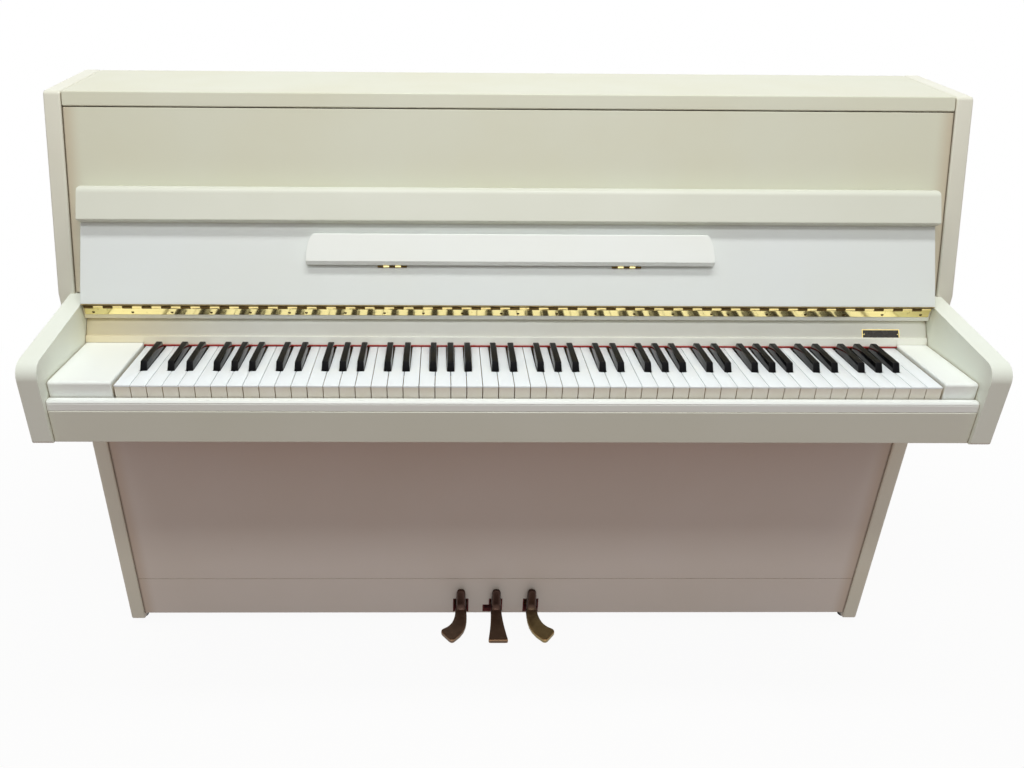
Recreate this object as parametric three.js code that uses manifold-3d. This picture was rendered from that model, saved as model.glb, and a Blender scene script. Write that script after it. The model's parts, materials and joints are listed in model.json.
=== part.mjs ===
// Upright piano of the low console kind: a case of panels with leaning front, a full 88-note
// keyboard set off centre between key blocks, a folding fallboard on a continuous hinge with a
// hinged nose and a small folding music desk, three cast pedals and their trapwork.
// Millimetres. +X is the player's right, +Y is the back, +Z is up, and Z = 0 is the floor.
import * as THREE from 'three';
import { mergeVertices } from 'three/addons/utils/BufferGeometryUtils.js';
import Module from 'manifold-3d';

const wasm = await Module();
wasm.setup();
const DEG = Math.PI / 180;

// ---- Case ----
const WIDTH = 1473;              // over the two sides
const HEIGHT = 1010;             // floor to the back top edge of the sides
const CASE_DEPTH = 285;          // back of the case to the front edge of the sides
const ARM_REACH = 225;           // arms stand out in front of the sides by this much
const SIDE_T = 27.5;
const SIDE_CORNER_R = 8;
const FRONT_LEAN = 18.3 * DEG;   // lean of the upper front, back from the vertical
const TOP_SLOPE = 4.9 * DEG;     // the top rises towards the back
const FOOT_H = 12;
const FOOT_R = 10;
const FOOT_INSET = 28;           // foot centre from the front and back edges of the side
const FIT = 0.3;                 // clearance of a piece seated on another
const ARC_STEP = 15 * DEG;       // facet angle of rounded profiles

// ---- Arms, key bed and front ----
const ARM_T = 30;
const ARM_LAP = 7;               // the arm covers this much of the side's front edge
const ARM_BOTTOM = 540;
const ARM_TOP = 664;             // top line of the arm carried to its front face
const ARM_SLOPE = 8.3 * DEG;
const ARM_NOSE_R = 26;
const ARM_TOE_R = 5;
const ARM_RUN_IN = 90;           // length of the arm behind the side's front edge
const KEYBED_T = 36;
const KEYBED_BACK = 335;         // from its front edge
const RAIL_SETBACK = 6.5;        // front rail face behind the arm's front
const RAIL_H = 51.3;
const RAIL_T = 15;
const SLIP_H = 15.7;
const SLIP_CLEAR = 2.5;          // key slip behind edge in front of the key fronts
const SLIP_LIP = 9;              // flat top of the slip
const SLIP_BEVEL = [2.8, 3.2];   // run and drop of the bevel in front of it
const SLIP_GROOVE = 0.9;
const SLIP_BASE_SETBACK = 0.8;   // foot of the slip's chamfer behind the rail face

// ---- Keyboard ----
const WHITE_COUNT = 52;
const WHITE_PITCH = 23.5;
const WHITE_TOP = 626;
const WHITE_H = 21.6;            // top of the covering to the underside of the stick
const HEAD_LEN = 52.5;           // front of the white key to the notch
const KEY_LEN = 333;
const KEY_GAP = 1;
const KEY_FRONT_SETBACK = 22;    // key fronts behind the arm's front
const KEYBOARD_OFFSET = 22;      // keyboard centre to the right of the case centre
const BLACK_W = 11.3;
const BLACK_TOP_W = 9.6;
const BLACK_H = 12.5;            // above the white tops
const BLACK_LEN = 88;
const BLACK_RUN = 2.5;           // front of the sharp behind the notch, room for its dip
const BLACK_FRONT_SLOPE = 7;     // run of the sloping front end
const BLACK_BACK_SLOPE = 2;
const BLACK_EASE = [0.6, 1.4, 1.5, 0.8, 1];  // eased top edges: out, front, drop, top front, top back
const BALANCE = 200;             // balance rail behind the key fronts
const BALANCE_RIB = 6;
const BALANCE_W = 40;
const BALANCE_DROP = 4;          // fall of the balance rail's top to its edges
const BACK_RAIL_W = 26;
const KEY_REST = 0.4;            // running clearance over the rails
const MOVING_FIRST = 23;         // white index of middle C
const MOVING_COUNT = 7;
const BLOCK_GAP = 3;             // key block beside the end keys
const BLOCK_TOP = 5;             // above the white tops
const BLOCK_R = 4.5;
const BLOCK_BACK = 188;

// ---- Name rail and felt ----
const NAME_SETBACK = 154;        // foot of the rail's face behind the key fronts
const NAME_LEAN = 34 * DEG;      // lean of the face, back from the vertical
const NAME_FOOT = 5.3;           // underside above the white tops
const NAME_FACE_TOP = 39.2;      // above the white tops
const NAME_LIP = 2;              // rise of the slanting underside of the lip
const NAME_LIP_OUT = 8.7;        // the lip that carries the hinge, in front of the face's top
const NAME_STEP = 58.3;          // top of the lip above the white tops
const NAME_STEP_D = 2;           // the lip's top runs back to this far before the upper panel
const FELT_T = 4;
const FELT_OUT = 2;              // felt in front of the rail's foot
const FELT_CLEAR = 1;            // felt above the white tops

// ---- Fallboard, nose flap, music desk ----
const BOARD_T = 10;
const BOARD_LEN = 180;           // hinge axis to the board's free edge
const BOARD_SIDE_GAP = 2;
const BOARD_OPEN = 61.5 * DEG;   // board above the horizontal at rest, leaning to the back
const FLAP_T = 16;
const FLAP_H = 57;
const FLAP_NOSE_R = 14;
const FLAP_END_R = 8;
const DESK_LEFT = -324;
const DESK_RIGHT = 324;
const DESK_T = 9;
const DESK_H = 48.5;
const DESK_AT = 66;              // lower edge, from the hinge axis
const DESK_END = [14, 43];       // run and height of its rounded ends
const DESK_END_STEPS = 9;
const DESK_EDGE = 4.6;           // chamfer along the lower edge
const DESK_HINGE_L = 47;
const DESK_HINGES = [-188.5, 185.5];

// ---- Hinges ----
const LEAF_T = 1;
const KNUCKLE_R = 2.4;
const KNUCKLE_PITCH = 31;        // one fixed and one moving knuckle
const KNUCKLE_GAP = 0.4;
const LEAF_W = 13.5;
const HINGE_INSET = 1.8;           // hinge shorter than the board at each end
const DESK_LEAF_W = 10;
const DESK_LEAF_T = 0.8;
const DESK_KNUCKLE_R = 1.5;
const LID_LEAF_W = 16;
const LID_KNUCKLE_PITCH = 120;
const LID_HINGE_INSET = 20;

// ---- Lid and panels ----
const LID_T = 21;
const LID_SIDE_GAP = 1;
const LID_SHADOW = 1.2;          // gap over the upper panel
const LID_EDGE_R = 3;
const PANEL_T = 18;
const PANEL_SIDE_GAP = 2;
const PANEL_RECESS = 1;
const PANEL_LIFT = 1.5;          // foot of the upper panel over the arm
const LOWER_RECESS = 2;
const LOWER_JOINT = 111.5;
const LOWER_RAIL_BOTTOM = 26;
const LOWER_RAIL_T = 20;
const BASE_T = 14;
const BASE_D = 190;

// ---- Pedals and trapwork ----
const PEDAL_X = [-71.5, -1.5, 69];
const SLOT_W = 31;
const SLOT_MID_W = 27;
const SLOT_BOTTOM = 28.5;
const SLOT_TOP = 61.5;
const SLOT_NOTCH_W = 12.5;
const SLOT_NOTCH_TOP = 46.5;
const PEDAL_PAD_TOP = 49;
const PEDAL_PAD_T = 9;
const PEDAL_REACH = 107;         // toe in front of the rail
const PEDAL_HUMP_TOP = 93;
const PEDAL_HUMP_D = 13;
const PEDAL_HUMP_W = 18;
const PEDAL_HUMP_FOOT = 6;       // run and rise of the hump's front foot
const PAD_NECK_W = 21.5;
const PAD_TOE_W = 38;
const PEDAL_HUMP_CLEAR = 5;
const LEVER_W = 12;
const LEVER_BOTTOM = 44;
const LEVER_TOP = 56;
const PIVOT_Y = 92;              // pedal pivot behind the rail face
const PIVOT_R = 3;
const PIVOT_PIN = 5;             // pin beyond the lever's sides
const PIVOT_PLAY = 0.4;
const LEVER_PLAY = 0.8;
const LEVER_DROP = 7;            // room under the lever in the pivot rail
const PIVOT_RAIL_END = 40;       // rail beyond the outer pedals
const PIVOT_RAIL_D = 26;
const PIVOT_RAIL_TOP = 64;
const TRAP_ROW = [155, 178, 155];  // trap lever centre lines behind the rail face
const TRAP_LIFT = 0.6;           // lever over the pedal's tail
const TRAP_S = 18;
const TRAP_END = 6;              // tail and rod end overlap on the lever
const TRAP_HEEL = 8;             // lever beyond its pivot
const TRAP_ARM = [50, 70, 50];   // pivot to the pedal's tail
const FULCRUM_HALF = 6;
const FULCRUM_TAPER = 8;         // height of its tapered top
const TRAP_EDGE = 1.2;           // half width of the knife edge that a lever rocks on
const TRAP_THROW = 140;          // pivot to the rod
const TRAP_SIDE = [-1, -1, 1];
const ROD_R = 6;
const ROD_LIFT = 0.9;
const ROD_TOP = 688;

// ---- Strung back ----
const POST_D = 39;
const POST_W = 70;
const POST_COUNT = 5;
const BEAM_H = 95;
const LEAF_SPACE = 2 * (KNUCKLE_R + FIT);  // the lid hinge lies within the depth of the sides
const FRAME_LIFT = 4;            // frame above the bottom board
const FRAME_DROP = 3;            // frame below the lid
const STRUNG_INSET = 14;         // soundboard, plate and pin block inside the frame's ends
const STRUNG_FOOT = 20;          // their foot above the frame's foot
const STRUNG_GAP = 6;
const BOARD_THK = 9;
const RIB_D = 12.4;
const RIB_W = 22;
const RIB_COUNT = 9;
const RIB_REACH = 0.42;          // half length, as a share of the soundboard's height
const RIB_SLANT = 0.12;
const BRIDGE_H = 15;
const BRIDGE_HALF = 14;
const BRIDGE_STEPS = 16;
const PLATE_T = 13;
const PIN_BLOCK_H = 112;
const PLATE_RIM = 34;
const PLATE_BARS = 4;
const BAR_W = 30;
const BAY_FOOT = 70;             // foot of the bays above the plate's foot
const BAY_TOP = 12;              // bays end this far below the pin block
const BAY_R = 4;
const PLATE_R = 20;

// ---- Action ----
const ACTION_Y = 80;
const ACTION_RAIL_Z = 726;
const ACTION_RAIL_H = 24;
const ACTION_RAIL_D = 20;
const STRIKE = 0.518;            // hammer tops, as a share of the way from the rail to the lid
const HAMMER_W = 8;
const HAMMER_COUNT = 88;
const HAMMER_TAIL = 3;           // how deep the shank is let into the rail
const STANDARD_W = 18;
const STANDARD_D = [16, 8];      // in front of and behind the rail's centre line
const SHANK_HALF = 3;
const HAMMER_HEAD = [             // outline of the head, from the rail's centre line and its top
  [2, -26], [36, -16], [32, 0], [-10, -8], [-4, -24],
];

// ---- Derived places ----
const xSide = WIDTH / 2;
const xCase = xSide - SIDE_T;
const xArmFront = xCase + ARM_LAP;
const xArm = xArmFront - ARM_T;
const yBack = (CASE_DEPTH + ARM_REACH) / 2;
const yCase = yBack - CASE_DEPTH;
const yFront = -yBack;
const armTop = (y) => ARM_TOP + Math.tan(ARM_SLOPE) * (y - yFront);
const zBend = armTop(yCase);
const lean = (z) => yCase + Math.tan(FRONT_LEAN) * (z - zBend);
const topLine = (y) => HEIGHT - Math.tan(TOP_SLOPE) * (yBack - y);
const meetLeanTop = (drop) => {
  const slope = Math.tan(TOP_SLOPE) * Math.tan(FRONT_LEAN);
  const base = topLine(lean(0)) - drop;
  return base / (1 - slope);
};
const zTopFront = meetLeanTop(0);
const yKeys = yFront + KEY_FRONT_SETBACK;
const yRail = yFront + RAIL_SETBACK;
const zBed = ARM_BOTTOM + KEYBED_T;
const zStick = WHITE_TOP - WHITE_H;
const zRailTop = zStick - KEY_REST;
const xKeys = KEYBOARD_OFFSET - WHITE_COUNT * WHITE_PITCH / 2;
const yName = yKeys + NAME_SETBACK;
const yNameTop = yName + Math.tan(NAME_LEAN) * (NAME_FACE_TOP - NAME_FOOT);
const yStep = yNameTop - NAME_LIP_OUT;
const zStep = WHITE_TOP + NAME_STEP;
const hingeY = yStep - KNUCKLE_R - FIT;
const hingeZ = zStep + KNUCKLE_R + FIT;
const zPanelFoot = zBend + PANEL_LIFT;
const yLower = yCase + LOWER_RECESS;
const yFrame = yBack - LEAF_SPACE - POST_D;
const yBoardBack = yFrame - FIT - RIB_D;
const yPinBlock = yBoardBack - BOARD_THK - BRIDGE_H - FIT;
const yPlate = yPinBlock - FIT - PLATE_T;

// ---- Materials ----
const paint = (color, roughness, metalness = 0) =>
  new THREE.MeshStandardMaterial({ color, roughness, metalness });
const lacquer = paint(0xe9e7da, 0.35);
const wood = paint(0xb08a5a, 0.6);
const spruce = paint(0xd9b67c, 0.55);
const brass = paint(0xd8b25a, 0.25, 0.9);
const bronze = paint(0x5d4a33, 0.4, 0.8);
const whiteKey = paint(0xf4f5f2, 0.2);
const blackKey = paint(0x1c1c1e, 0.35);
const redFelt = paint(0x7a1c14, 0.95);
const rubber = paint(0x1d1d1d, 0.8);
const plateGold = paint(0xb08b45, 0.4, 0.7);

// ---- Building blocks ----
function outline(corners) {
  const points = [];
  const count = corners.length;
  corners.forEach(([a, b, r = 0], i) => {
    const corner = new THREE.Vector2(a, b);
    if (r === 0) {
      points.push(corner);
      return;
    }
    const before = corners[(i + count - 1) % count];
    const after = corners[(i + 1) % count];
    const u = new THREE.Vector2(before[0] - a, before[1] - b).normalize();
    const v = new THREE.Vector2(after[0] - a, after[1] - b).normalize();
    const half = Math.acos(u.dot(v)) / 2;
    const centre = u.clone().add(v).normalize().multiplyScalar(r / Math.sin(half)).add(corner);
    const start = u.multiplyScalar(r / Math.tan(half)).add(corner).sub(centre);
    const end = v.multiplyScalar(r / Math.tan(half)).add(corner).sub(centre);
    const turn = Math.atan2(start.x * end.y - start.y * end.x, start.dot(end));
    const steps = Math.max(1, Math.ceil(Math.abs(turn) / ARC_STEP));
    for (let k = 0; k <= steps; k += 1) {
      const at = start.clone().rotateAround(new THREE.Vector2(), turn * k / steps);
      points.push(at.add(centre));
    }
  });
  return new THREE.Shape(points);
}

function extrude(shape, depth) {
  return new THREE.ExtrudeGeometry(shape, { depth, bevelEnabled: false, curveSegments: 6 });
}

// A profile drawn in Y and Z, run along X.
function alongX(shape, x0, x1) {
  const turn = new THREE.Matrix4().set(0, 0, 1, x0, 1, 0, 0, 0, 0, 1, 0, 0, 0, 0, 0, 1);
  return extrude(shape, x1 - x0).applyMatrix4(turn);
}

// A profile drawn in X and Z, run along Y.
function alongY(shape, y0, y1) {
  const turn = new THREE.Matrix4().set(1, 0, 0, 0, 0, 0, -1, y1, 0, 1, 0, 0, 0, 0, 0, 1);
  return extrude(shape, y1 - y0).applyMatrix4(turn);
}

// A profile drawn in X and Y, run along Z.
function alongZ(shape, z0, z1) {
  return extrude(shape, z1 - z0).translate(0, 0, z0);
}

function rect(a0, a1, b0, b1, r = 0) {
  return outline([[a0, b0, r], [a1, b0, r], [a1, b1, r], [a0, b1, r]]);
}

function block(x0, x1, y0, y1, z0, z1) {
  return new THREE.BoxGeometry(x1 - x0, y1 - y0, z1 - z0)
    .translate((x0 + x1) / 2, (y0 + y1) / 2, (z0 + z1) / 2);
}

function rodX(x0, x1, y, z, r, sides) {
  return new THREE.CylinderGeometry(r, r, x1 - x0, sides)
    .rotateZ(Math.PI / 2).translate((x0 + x1) / 2, y, z);
}

// A solid through stacked sections of equal corner counts; the sections are convex.
function loft(sections) {
  const count = sections[0].length;
  const index = [];
  for (let s = 0; s + 1 < sections.length; s += 1) {
    for (let i = 0; i < count; i += 1) {
      const j = (i + 1) % count;
      const a = s * count + i;
      const b = s * count + j;
      index.push(a, b, b + count, a, b + count, a + count);
    }
  }
  const last = (sections.length - 1) * count;
  for (let i = 1; i + 1 < count; i += 1) {
    index.push(0, i + 1, i);
    index.push(last, last + i, last + i + 1);
  }
  const geometry = new THREE.BufferGeometry();
  geometry.setAttribute('position', new THREE.Float32BufferAttribute(sections.flat(2), 3));
  geometry.setIndex(index);
  return geometry;
}

function solid(geometry) {
  const bare = geometry.clone();
  bare.deleteAttribute('normal');
  bare.deleteAttribute('uv');
  const merged = mergeVertices(bare, 1e-4);
  return new wasm.Manifold(new wasm.Mesh({
    numProp: 3,
    vertProperties: new Float32Array(merged.attributes.position.array),
    triVerts: new Uint32Array(merged.index.array),
  }));
}

function joined(geometries) {
  return wasm.Manifold.union(geometries.map(solid));
}

function surface(body) {
  const data = body.getMesh();
  const geometry = new THREE.BufferGeometry();
  geometry.setAttribute('position', new THREE.BufferAttribute(data.vertProperties, 3));
  geometry.setIndex(new THREE.BufferAttribute(data.triVerts, 1));
  geometry.computeVertexNormals();
  return geometry;
}

function piece(name, geometry, material, parent) {
  const mesh = new THREE.Mesh(geometry, material);
  mesh.name = name;
  parent.add(mesh);
  return mesh;
}

const piano = new THREE.Group();
piano.name = 'upright_piano';

// ---- Sides, arms and feet ----
const sideShape = outline([
  [yCase, FOOT_H], [yBack, FOOT_H], [yBack, topLine(yBack)],
  [lean(zTopFront), zTopFront, SIDE_CORNER_R], [yCase, zBend],
]);
const yArmBack = yCase + ARM_RUN_IN;
const armShape = outline([
  [yFront, ARM_BOTTOM, ARM_TOE_R], [yArmBack, ARM_BOTTOM], [yArmBack, zBend],
  [yCase, zBend], [yFront, ARM_TOP, ARM_NOSE_R],
]);
const footProfile = [
  [0, 0], [FOOT_R - 1, 0], [FOOT_R, 1], [FOOT_R, FOOT_H - 3], [FOOT_R - 2, FOOT_H - FIT],
  [0, FOOT_H - FIT],
].map(([r, z]) => new THREE.Vector2(r, z));
for (const [name, side] of [['left', -1], ['right', 1]]) {
  const faces = [side * xCase, side * xSide].sort((a, b) => a - b);
  piece(`side_${name}`, alongX(sideShape, faces[0], faces[1]), lacquer, piano);
  const arm = [side * xArm, side * xArmFront].sort((a, b) => a - b);
  const rebate = [side * (xCase - FIT), side * (xArmFront + 1)].sort((a, b) => a - b);
  const armBody = solid(alongX(armShape, arm[0], arm[1])).subtract(solid(
    block(...rebate, yCase - FIT, yArmBack + 1, ARM_BOTTOM - 1, zBend + 1)));
  piece(`arm_${name}`, surface(armBody), lacquer, piano);
  for (const [end, y] of [['front', yCase + FOOT_INSET], ['back', yBack - FOOT_INSET]]) {
    const foot = new THREE.LatheGeometry(footProfile, 12).rotateX(Math.PI / 2);
    const mesh = piece(`foot_${end}_${name}`, foot, rubber, piano);
    mesh.position.set(side * (xCase + SIDE_T / 2), y, 0);
  }
}

// ---- Key bed, front rail and key slip ----
const bedSpan = [-(xArm - FIT), xArm - FIT];
const yBedFront = yRail + RAIL_T + FIT;
piece('key_bed', block(...bedSpan, yBedFront, yBedFront + KEYBED_BACK, ARM_BOTTOM, zBed), wood, piano);
piece('front_rail', alongX(rect(yRail, yRail + RAIL_T, ARM_BOTTOM, ARM_BOTTOM + RAIL_H, 1.5),
  ...bedSpan), lacquer, piano);
const zSlip = ARM_BOTTOM + RAIL_H + FIT;
const ySlipBack = yKeys - SLIP_CLEAR;
const ySlipFront = ySlipBack - SLIP_LIP;
const zSlipTop = zSlip + SLIP_H;
const ySlipBevel = ySlipFront - SLIP_BEVEL[0];
const zSlipBevel = zSlipTop - SLIP_BEVEL[1];
const slipShape = outline([
  [ySlipBack, zSlip], [ySlipBack, zSlipTop], [ySlipFront, zSlipTop], [ySlipBevel, zSlipBevel],
  [ySlipBevel + SLIP_GROOVE, zSlipBevel - SLIP_GROOVE],
  [ySlipBevel, zSlipBevel - 2 * SLIP_GROOVE],
  [yRail + SLIP_BASE_SETBACK, zSlip + SLIP_GROOVE], [yRail + SLIP_BASE_SETBACK, zSlip],
]);
piece('key_slip', alongX(slipShape, ...bedSpan), lacquer, piano);

// ---- Keyboard ----
// Tails of the natural and sharp keys share each group of whites evenly: five tails over
// C to E, seven over F to B. Sharps stand on the middle of their own tail.
const letterOf = (i) => (i + 5) % 7;
const whiteX = (i) => xKeys + i * WHITE_PITCH;
function sharpX(i) {
  const letter = letterOf(i);
  const low = letter < 3;
  const first = low ? i - letter : i - (letter - 3);
  const tail = low ? 3 * WHITE_PITCH / 5 : 4 * WHITE_PITCH / 7;
  const place = 2 * (low ? letter : letter - 3) + 1.5;
  return whiteX(first) + tail * place;
}
const hasSharp = (i) => i >= 0 && i < WHITE_COUNT - 1 && ![2, 6].includes(letterOf(i));
const isMoving = (i) => i >= MOVING_FIRST && i < MOVING_FIRST + MOVING_COUNT;
const yNotch = yKeys + HEAD_LEN;
const yKeyBack = yKeys + KEY_LEN;
const yBalance = yKeys + BALANCE;

function naturalKey(i) {
  const left = whiteX(i) + KEY_GAP / 2;
  const right = whiteX(i + 1) - KEY_GAP / 2;
  const reach = BLACK_W / 2 + KEY_GAP;
  const tailLeft = hasSharp(i - 1) ? sharpX(i - 1) + reach : left;
  const tailRight = hasSharp(i) ? sharpX(i) - reach : right;
  const corners = [[left, yKeys], [right, yKeys]];
  if (tailRight < right) {
    corners.push([right, yNotch], [tailRight, yNotch]);
  }
  corners.push([tailRight, yKeyBack], [tailLeft, yKeyBack]);
  if (tailLeft > left) {
    corners.push([tailLeft, yNotch], [left, yNotch]);
  }
  return { geometry: alongZ(outline(corners), zStick, WHITE_TOP), tail: [tailLeft, tailRight] };
}

function sharpKey(i) {
  const x = sharpX(i);
  const front = yNotch + BLACK_RUN;
  const back = front + BLACK_LEN;
  const top = WHITE_TOP + BLACK_H;
  const half = BLACK_W / 2;
  const crown = BLACK_TOP_W / 2;
  const [out, easeFront, drop, inFront, inBack] = BLACK_EASE;
  const frontTop = front + BLACK_FRONT_SLOPE;
  const backTop = back - BLACK_BACK_SLOPE;
  const cap = loft([
    [[x - half, front, WHITE_TOP - 1], [x + half, front, WHITE_TOP - 1],
      [x + half, back, WHITE_TOP - 1], [x - half, back, WHITE_TOP - 1]],
    [[x - crown - out, frontTop - easeFront, top - drop], [x + crown + out, frontTop - easeFront, top - drop],
      [x + crown + out, backTop, top - drop], [x - crown - out, backTop, top - drop]],
    [[x - crown, frontTop + inFront, top], [x + crown, frontTop + inFront, top],
      [x + crown, backTop - inBack, top], [x - crown, backTop - inBack, top]],
  ]);
  const stick = block(x - half, x + half, front, yKeyBack, zStick, WHITE_TOP - 0.5);
  return { geometries: [cap, stick], tail: [x - half, x + half] };
}

const letters = ['c', 'd', 'e', 'f', 'g', 'a', 'b'];
const pad = (tail, y, depth) => block(...tail, y - depth / 2, y + depth / 2, zRailTop - 1, zStick + 1);
const whites = [];
const blacks = [];
for (let i = 0; i < WHITE_COUNT; i += 1) {
  const key = naturalKey(i);
  const letter = letters[letterOf(i)];
  if (isMoving(i)) {
    piece(`key_${letter}4`, key.geometry, whiteKey, piano);
  } else {
    whites.push(key.geometry, pad(key.tail, yBalance, BALANCE_RIB));
  }
  if (hasSharp(i)) {
    const sharp = sharpKey(i);
    if (isMoving(i)) {
      piece(`key_${letter}sharp4`, surface(joined(sharp.geometries)), blackKey, piano);
    } else {
      blacks.push(...sharp.geometries, pad(sharp.tail, yKeyBack - BACK_RAIL_W / 2, BALANCE_RIB));
    }
  }
}
const xKeysEnd = whiteX(WHITE_COUNT);
const balanceShape = outline([
  [yBalance - BALANCE_W / 2, zBed + FIT], [yBalance + BALANCE_W / 2, zBed + FIT],
  [yBalance + BALANCE_W / 2, zRailTop - BALANCE_DROP], [yBalance + BALANCE_RIB / 2, zRailTop],
  [yBalance - BALANCE_RIB / 2, zRailTop], [yBalance - BALANCE_W / 2, zRailTop - BALANCE_DROP],
]);
whites.push(alongX(balanceShape, xKeys, xKeysEnd));
piece('naturals', surface(joined(whites)), whiteKey, piano);
blacks.push(block(xKeys, xKeysEnd, yKeyBack - BACK_RAIL_W, yKeyBack, zBed + FIT, zRailTop));
piece('sharps', surface(joined(blacks)), blackKey, piano);

// ---- Key blocks, name rail and felt ----
const blockShape = outline([
  [yKeys, zBed + FIT], [yKeys + BLOCK_BACK, zBed + FIT],
  [yKeys + BLOCK_BACK, WHITE_TOP + BLOCK_TOP], [yKeys, WHITE_TOP + BLOCK_TOP, BLOCK_R],
]);
piece('key_block_left', alongX(blockShape, bedSpan[0], xKeys - BLOCK_GAP), lacquer, piano);
piece('key_block_right', alongX(blockShape, xKeysEnd + BLOCK_GAP, bedSpan[1]), lacquer, piano);
const zNameFoot = WHITE_TOP + NAME_FOOT;
const yPanelFoot = lean(zPanelFoot) + PANEL_RECESS;
const yNameBack = yPanelFoot + PANEL_T;
const zNameTop = WHITE_TOP + NAME_FACE_TOP;
const yStepBack = yPanelFoot - NAME_STEP_D;
const nameShape = outline([
  [yName, zNameFoot, 1], [yNameBack, zNameFoot], [yNameBack, zPanelFoot - FIT],
  [yStepBack, zPanelFoot - FIT], [yStepBack, zStep], [yStep, zStep],
  [yStep, zNameTop + NAME_LIP], [yNameTop, zNameTop],
]);
piece('name_rail', alongX(nameShape, ...bedSpan), lacquer, piano);
const feltEnd = BLOCK_GAP - 1;
piece('name_felt', block(xKeys - feltEnd, xKeysEnd + feltEnd, yName - FELT_OUT,
  yName - FELT_OUT + FELT_T, WHITE_TOP + FELT_CLEAR, zNameFoot - FIT), redFelt, piano);

// ---- Hinge leaves ----
// A leaf hangs below the pin at the origin, flush with one side of the knuckles; every
// second knuckle is its own, curled over from a tab. side mirrors it and turn swings it.
function hingeLeaf({ x0, x1, pitch, r, width, side, turn, moving, thick = LEAF_T }) {
  const leaf = outline([
    [side * (r - thick), -r - FIT], [side * r, -r - FIT],
    [side * r, -width], [side * (r - thick), -width],
  ]);
  const curl = outline([
    [side * (r - thick), -r - 2 * FIT], [side * r, -r - 2 * FIT], [side * r, r * 0.5],
    [0, r], [-side * r * 0.9, r * 0.4], [-side * r * 0.6, -r * 0.8],
  ]);
  const half = pitch / 2;
  const count = Math.floor((x1 - x0) / half);
  const start = (x0 + x1 - count * half) / 2;
  const parts = [alongX(leaf, x0, x1)];
  for (let k = moving ? 1 : 0; k < count; k += 2) {
    const a = start + k * half + KNUCKLE_GAP / 2;
    parts.push(alongX(curl, a, a + half - KNUCKLE_GAP));
  }
  return surface(joined(parts)).rotateX(turn);
}

const xBoard = xArm - BOARD_SIDE_GAP;
const hinge = new THREE.Group();
hinge.position.set(0, hingeY, hingeZ);
piano.add(hinge);
const fallSpan = {
  x0: -xBoard + HINGE_INSET, x1: xBoard - HINGE_INSET, pitch: KNUCKLE_PITCH, r: KNUCKLE_R,
};
piece('fall_hinge_fixed', hingeLeaf({
  ...fallSpan, width: LEAF_W + FIT, side: 1, turn: 0, moving: false,
}), brass, hinge);

// ---- Fallboard: its own frame has Y along the board and Z out of the face the player sees ----
const board = new THREE.Group();
board.rotation.x = BOARD_OPEN;
hinge.add(board);
const boardStart = KNUCKLE_R + FIT;
piece('fall_hinge_moving', hingeLeaf({
  ...fallSpan, width: LEAF_W, side: -1, turn: Math.PI, moving: true,
}), brass, board);
piece('fallboard', alongX(rect(boardStart, BOARD_LEN, 0, BOARD_T, 1.2), -xBoard, xBoard),
  lacquer, board);

// The nose flap turns about the board's front lower corner and covers the board's edge.
const flap = new THREE.Group();
flap.position.set(0, BOARD_LEN, BOARD_T);
board.add(flap);
const flapSide = outline([
  [BOARD_T - FLAP_H, FIT], [BOARD_T, FIT, 1.5], [BOARD_T, FIT + FLAP_T, FLAP_NOSE_R],
  [BOARD_T - FLAP_H, FIT + FLAP_T, 2],
]);
const flapFace = outline([
  [-xBoard, BOARD_T - FLAP_H], [xBoard, BOARD_T - FLAP_H],
  [xBoard, BOARD_T, FLAP_END_R], [-xBoard, BOARD_T, FLAP_END_R],
]);
const flapBody = solid(alongX(flapSide, -xBoard, xBoard))
  .intersect(solid(alongZ(flapFace, 0, FLAP_T + 1)));
piece('fallboard_flap', surface(flapBody), lacquer, flap);

// The music desk turns about the pins of its two butt hinges, at its lower edge. Their leaves
// lie folded between the desk and the board, and only the knuckles show.
const deskPinY = DESK_AT - DESK_KNUCKLE_R - FIT;
const deskPinZ = BOARD_T + FIT + DESK_KNUCKLE_R;
const desk = new THREE.Group();
desk.position.set(0, deskPinY, deskPinZ);
board.add(desk);
const deskBack = DESK_KNUCKLE_R + FIT;
const deskLow = DESK_AT - deskPinY;
const deskHigh = deskLow + DESK_H;
// A rounded end of the desk: a quarter of an ellipse, as tall as most of the desk.
const deskEnd = (x, side) => Array.from({ length: DESK_END_STEPS + 1 }, (_, k) => {
  const turn = (side > 0 ? k : DESK_END_STEPS - k) / DESK_END_STEPS * Math.PI / 2;
  return [x - side * DESK_END[0] * (1 - Math.cos(turn)), deskHigh - DESK_END[1] * (1 - Math.sin(turn))];
});
const deskFace = outline([
  [DESK_LEFT, deskLow], [DESK_RIGHT, deskLow], ...deskEnd(DESK_RIGHT, 1), ...deskEnd(DESK_LEFT, -1),
]);
const deskSide = outline([
  [deskLow, deskBack], [deskHigh, deskBack], [deskHigh, deskBack + DESK_T, 2],
  [deskLow + DESK_EDGE, deskBack + DESK_T], [deskLow, deskBack + DESK_T - DESK_EDGE],
]);
const deskBody = solid(alongZ(deskFace, deskBack - 1, deskBack + DESK_T + 1))
  .intersect(solid(alongX(deskSide, DESK_LEFT, DESK_RIGHT)));
piece('music_desk', surface(deskBody), lacquer, desk);
for (const [name, x] of [['left', DESK_HINGES[0]], ['right', DESK_HINGES[1]]]) {
  const span = {
    x0: x - DESK_HINGE_L / 2, x1: x + DESK_HINGE_L / 2, pitch: 2 * DESK_HINGE_L / 5,
    r: DESK_KNUCKLE_R, width: DESK_LEAF_W, turn: Math.PI / 2, thick: DESK_LEAF_T,
  };
  piece(`desk_hinge_${name}_fixed`, hingeLeaf({ ...span, side: -1, moving: false }), brass, desk);
  piece(`desk_hinge_${name}_moving`, hingeLeaf({ ...span, side: 1, moving: true }), brass, desk);
}

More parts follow.
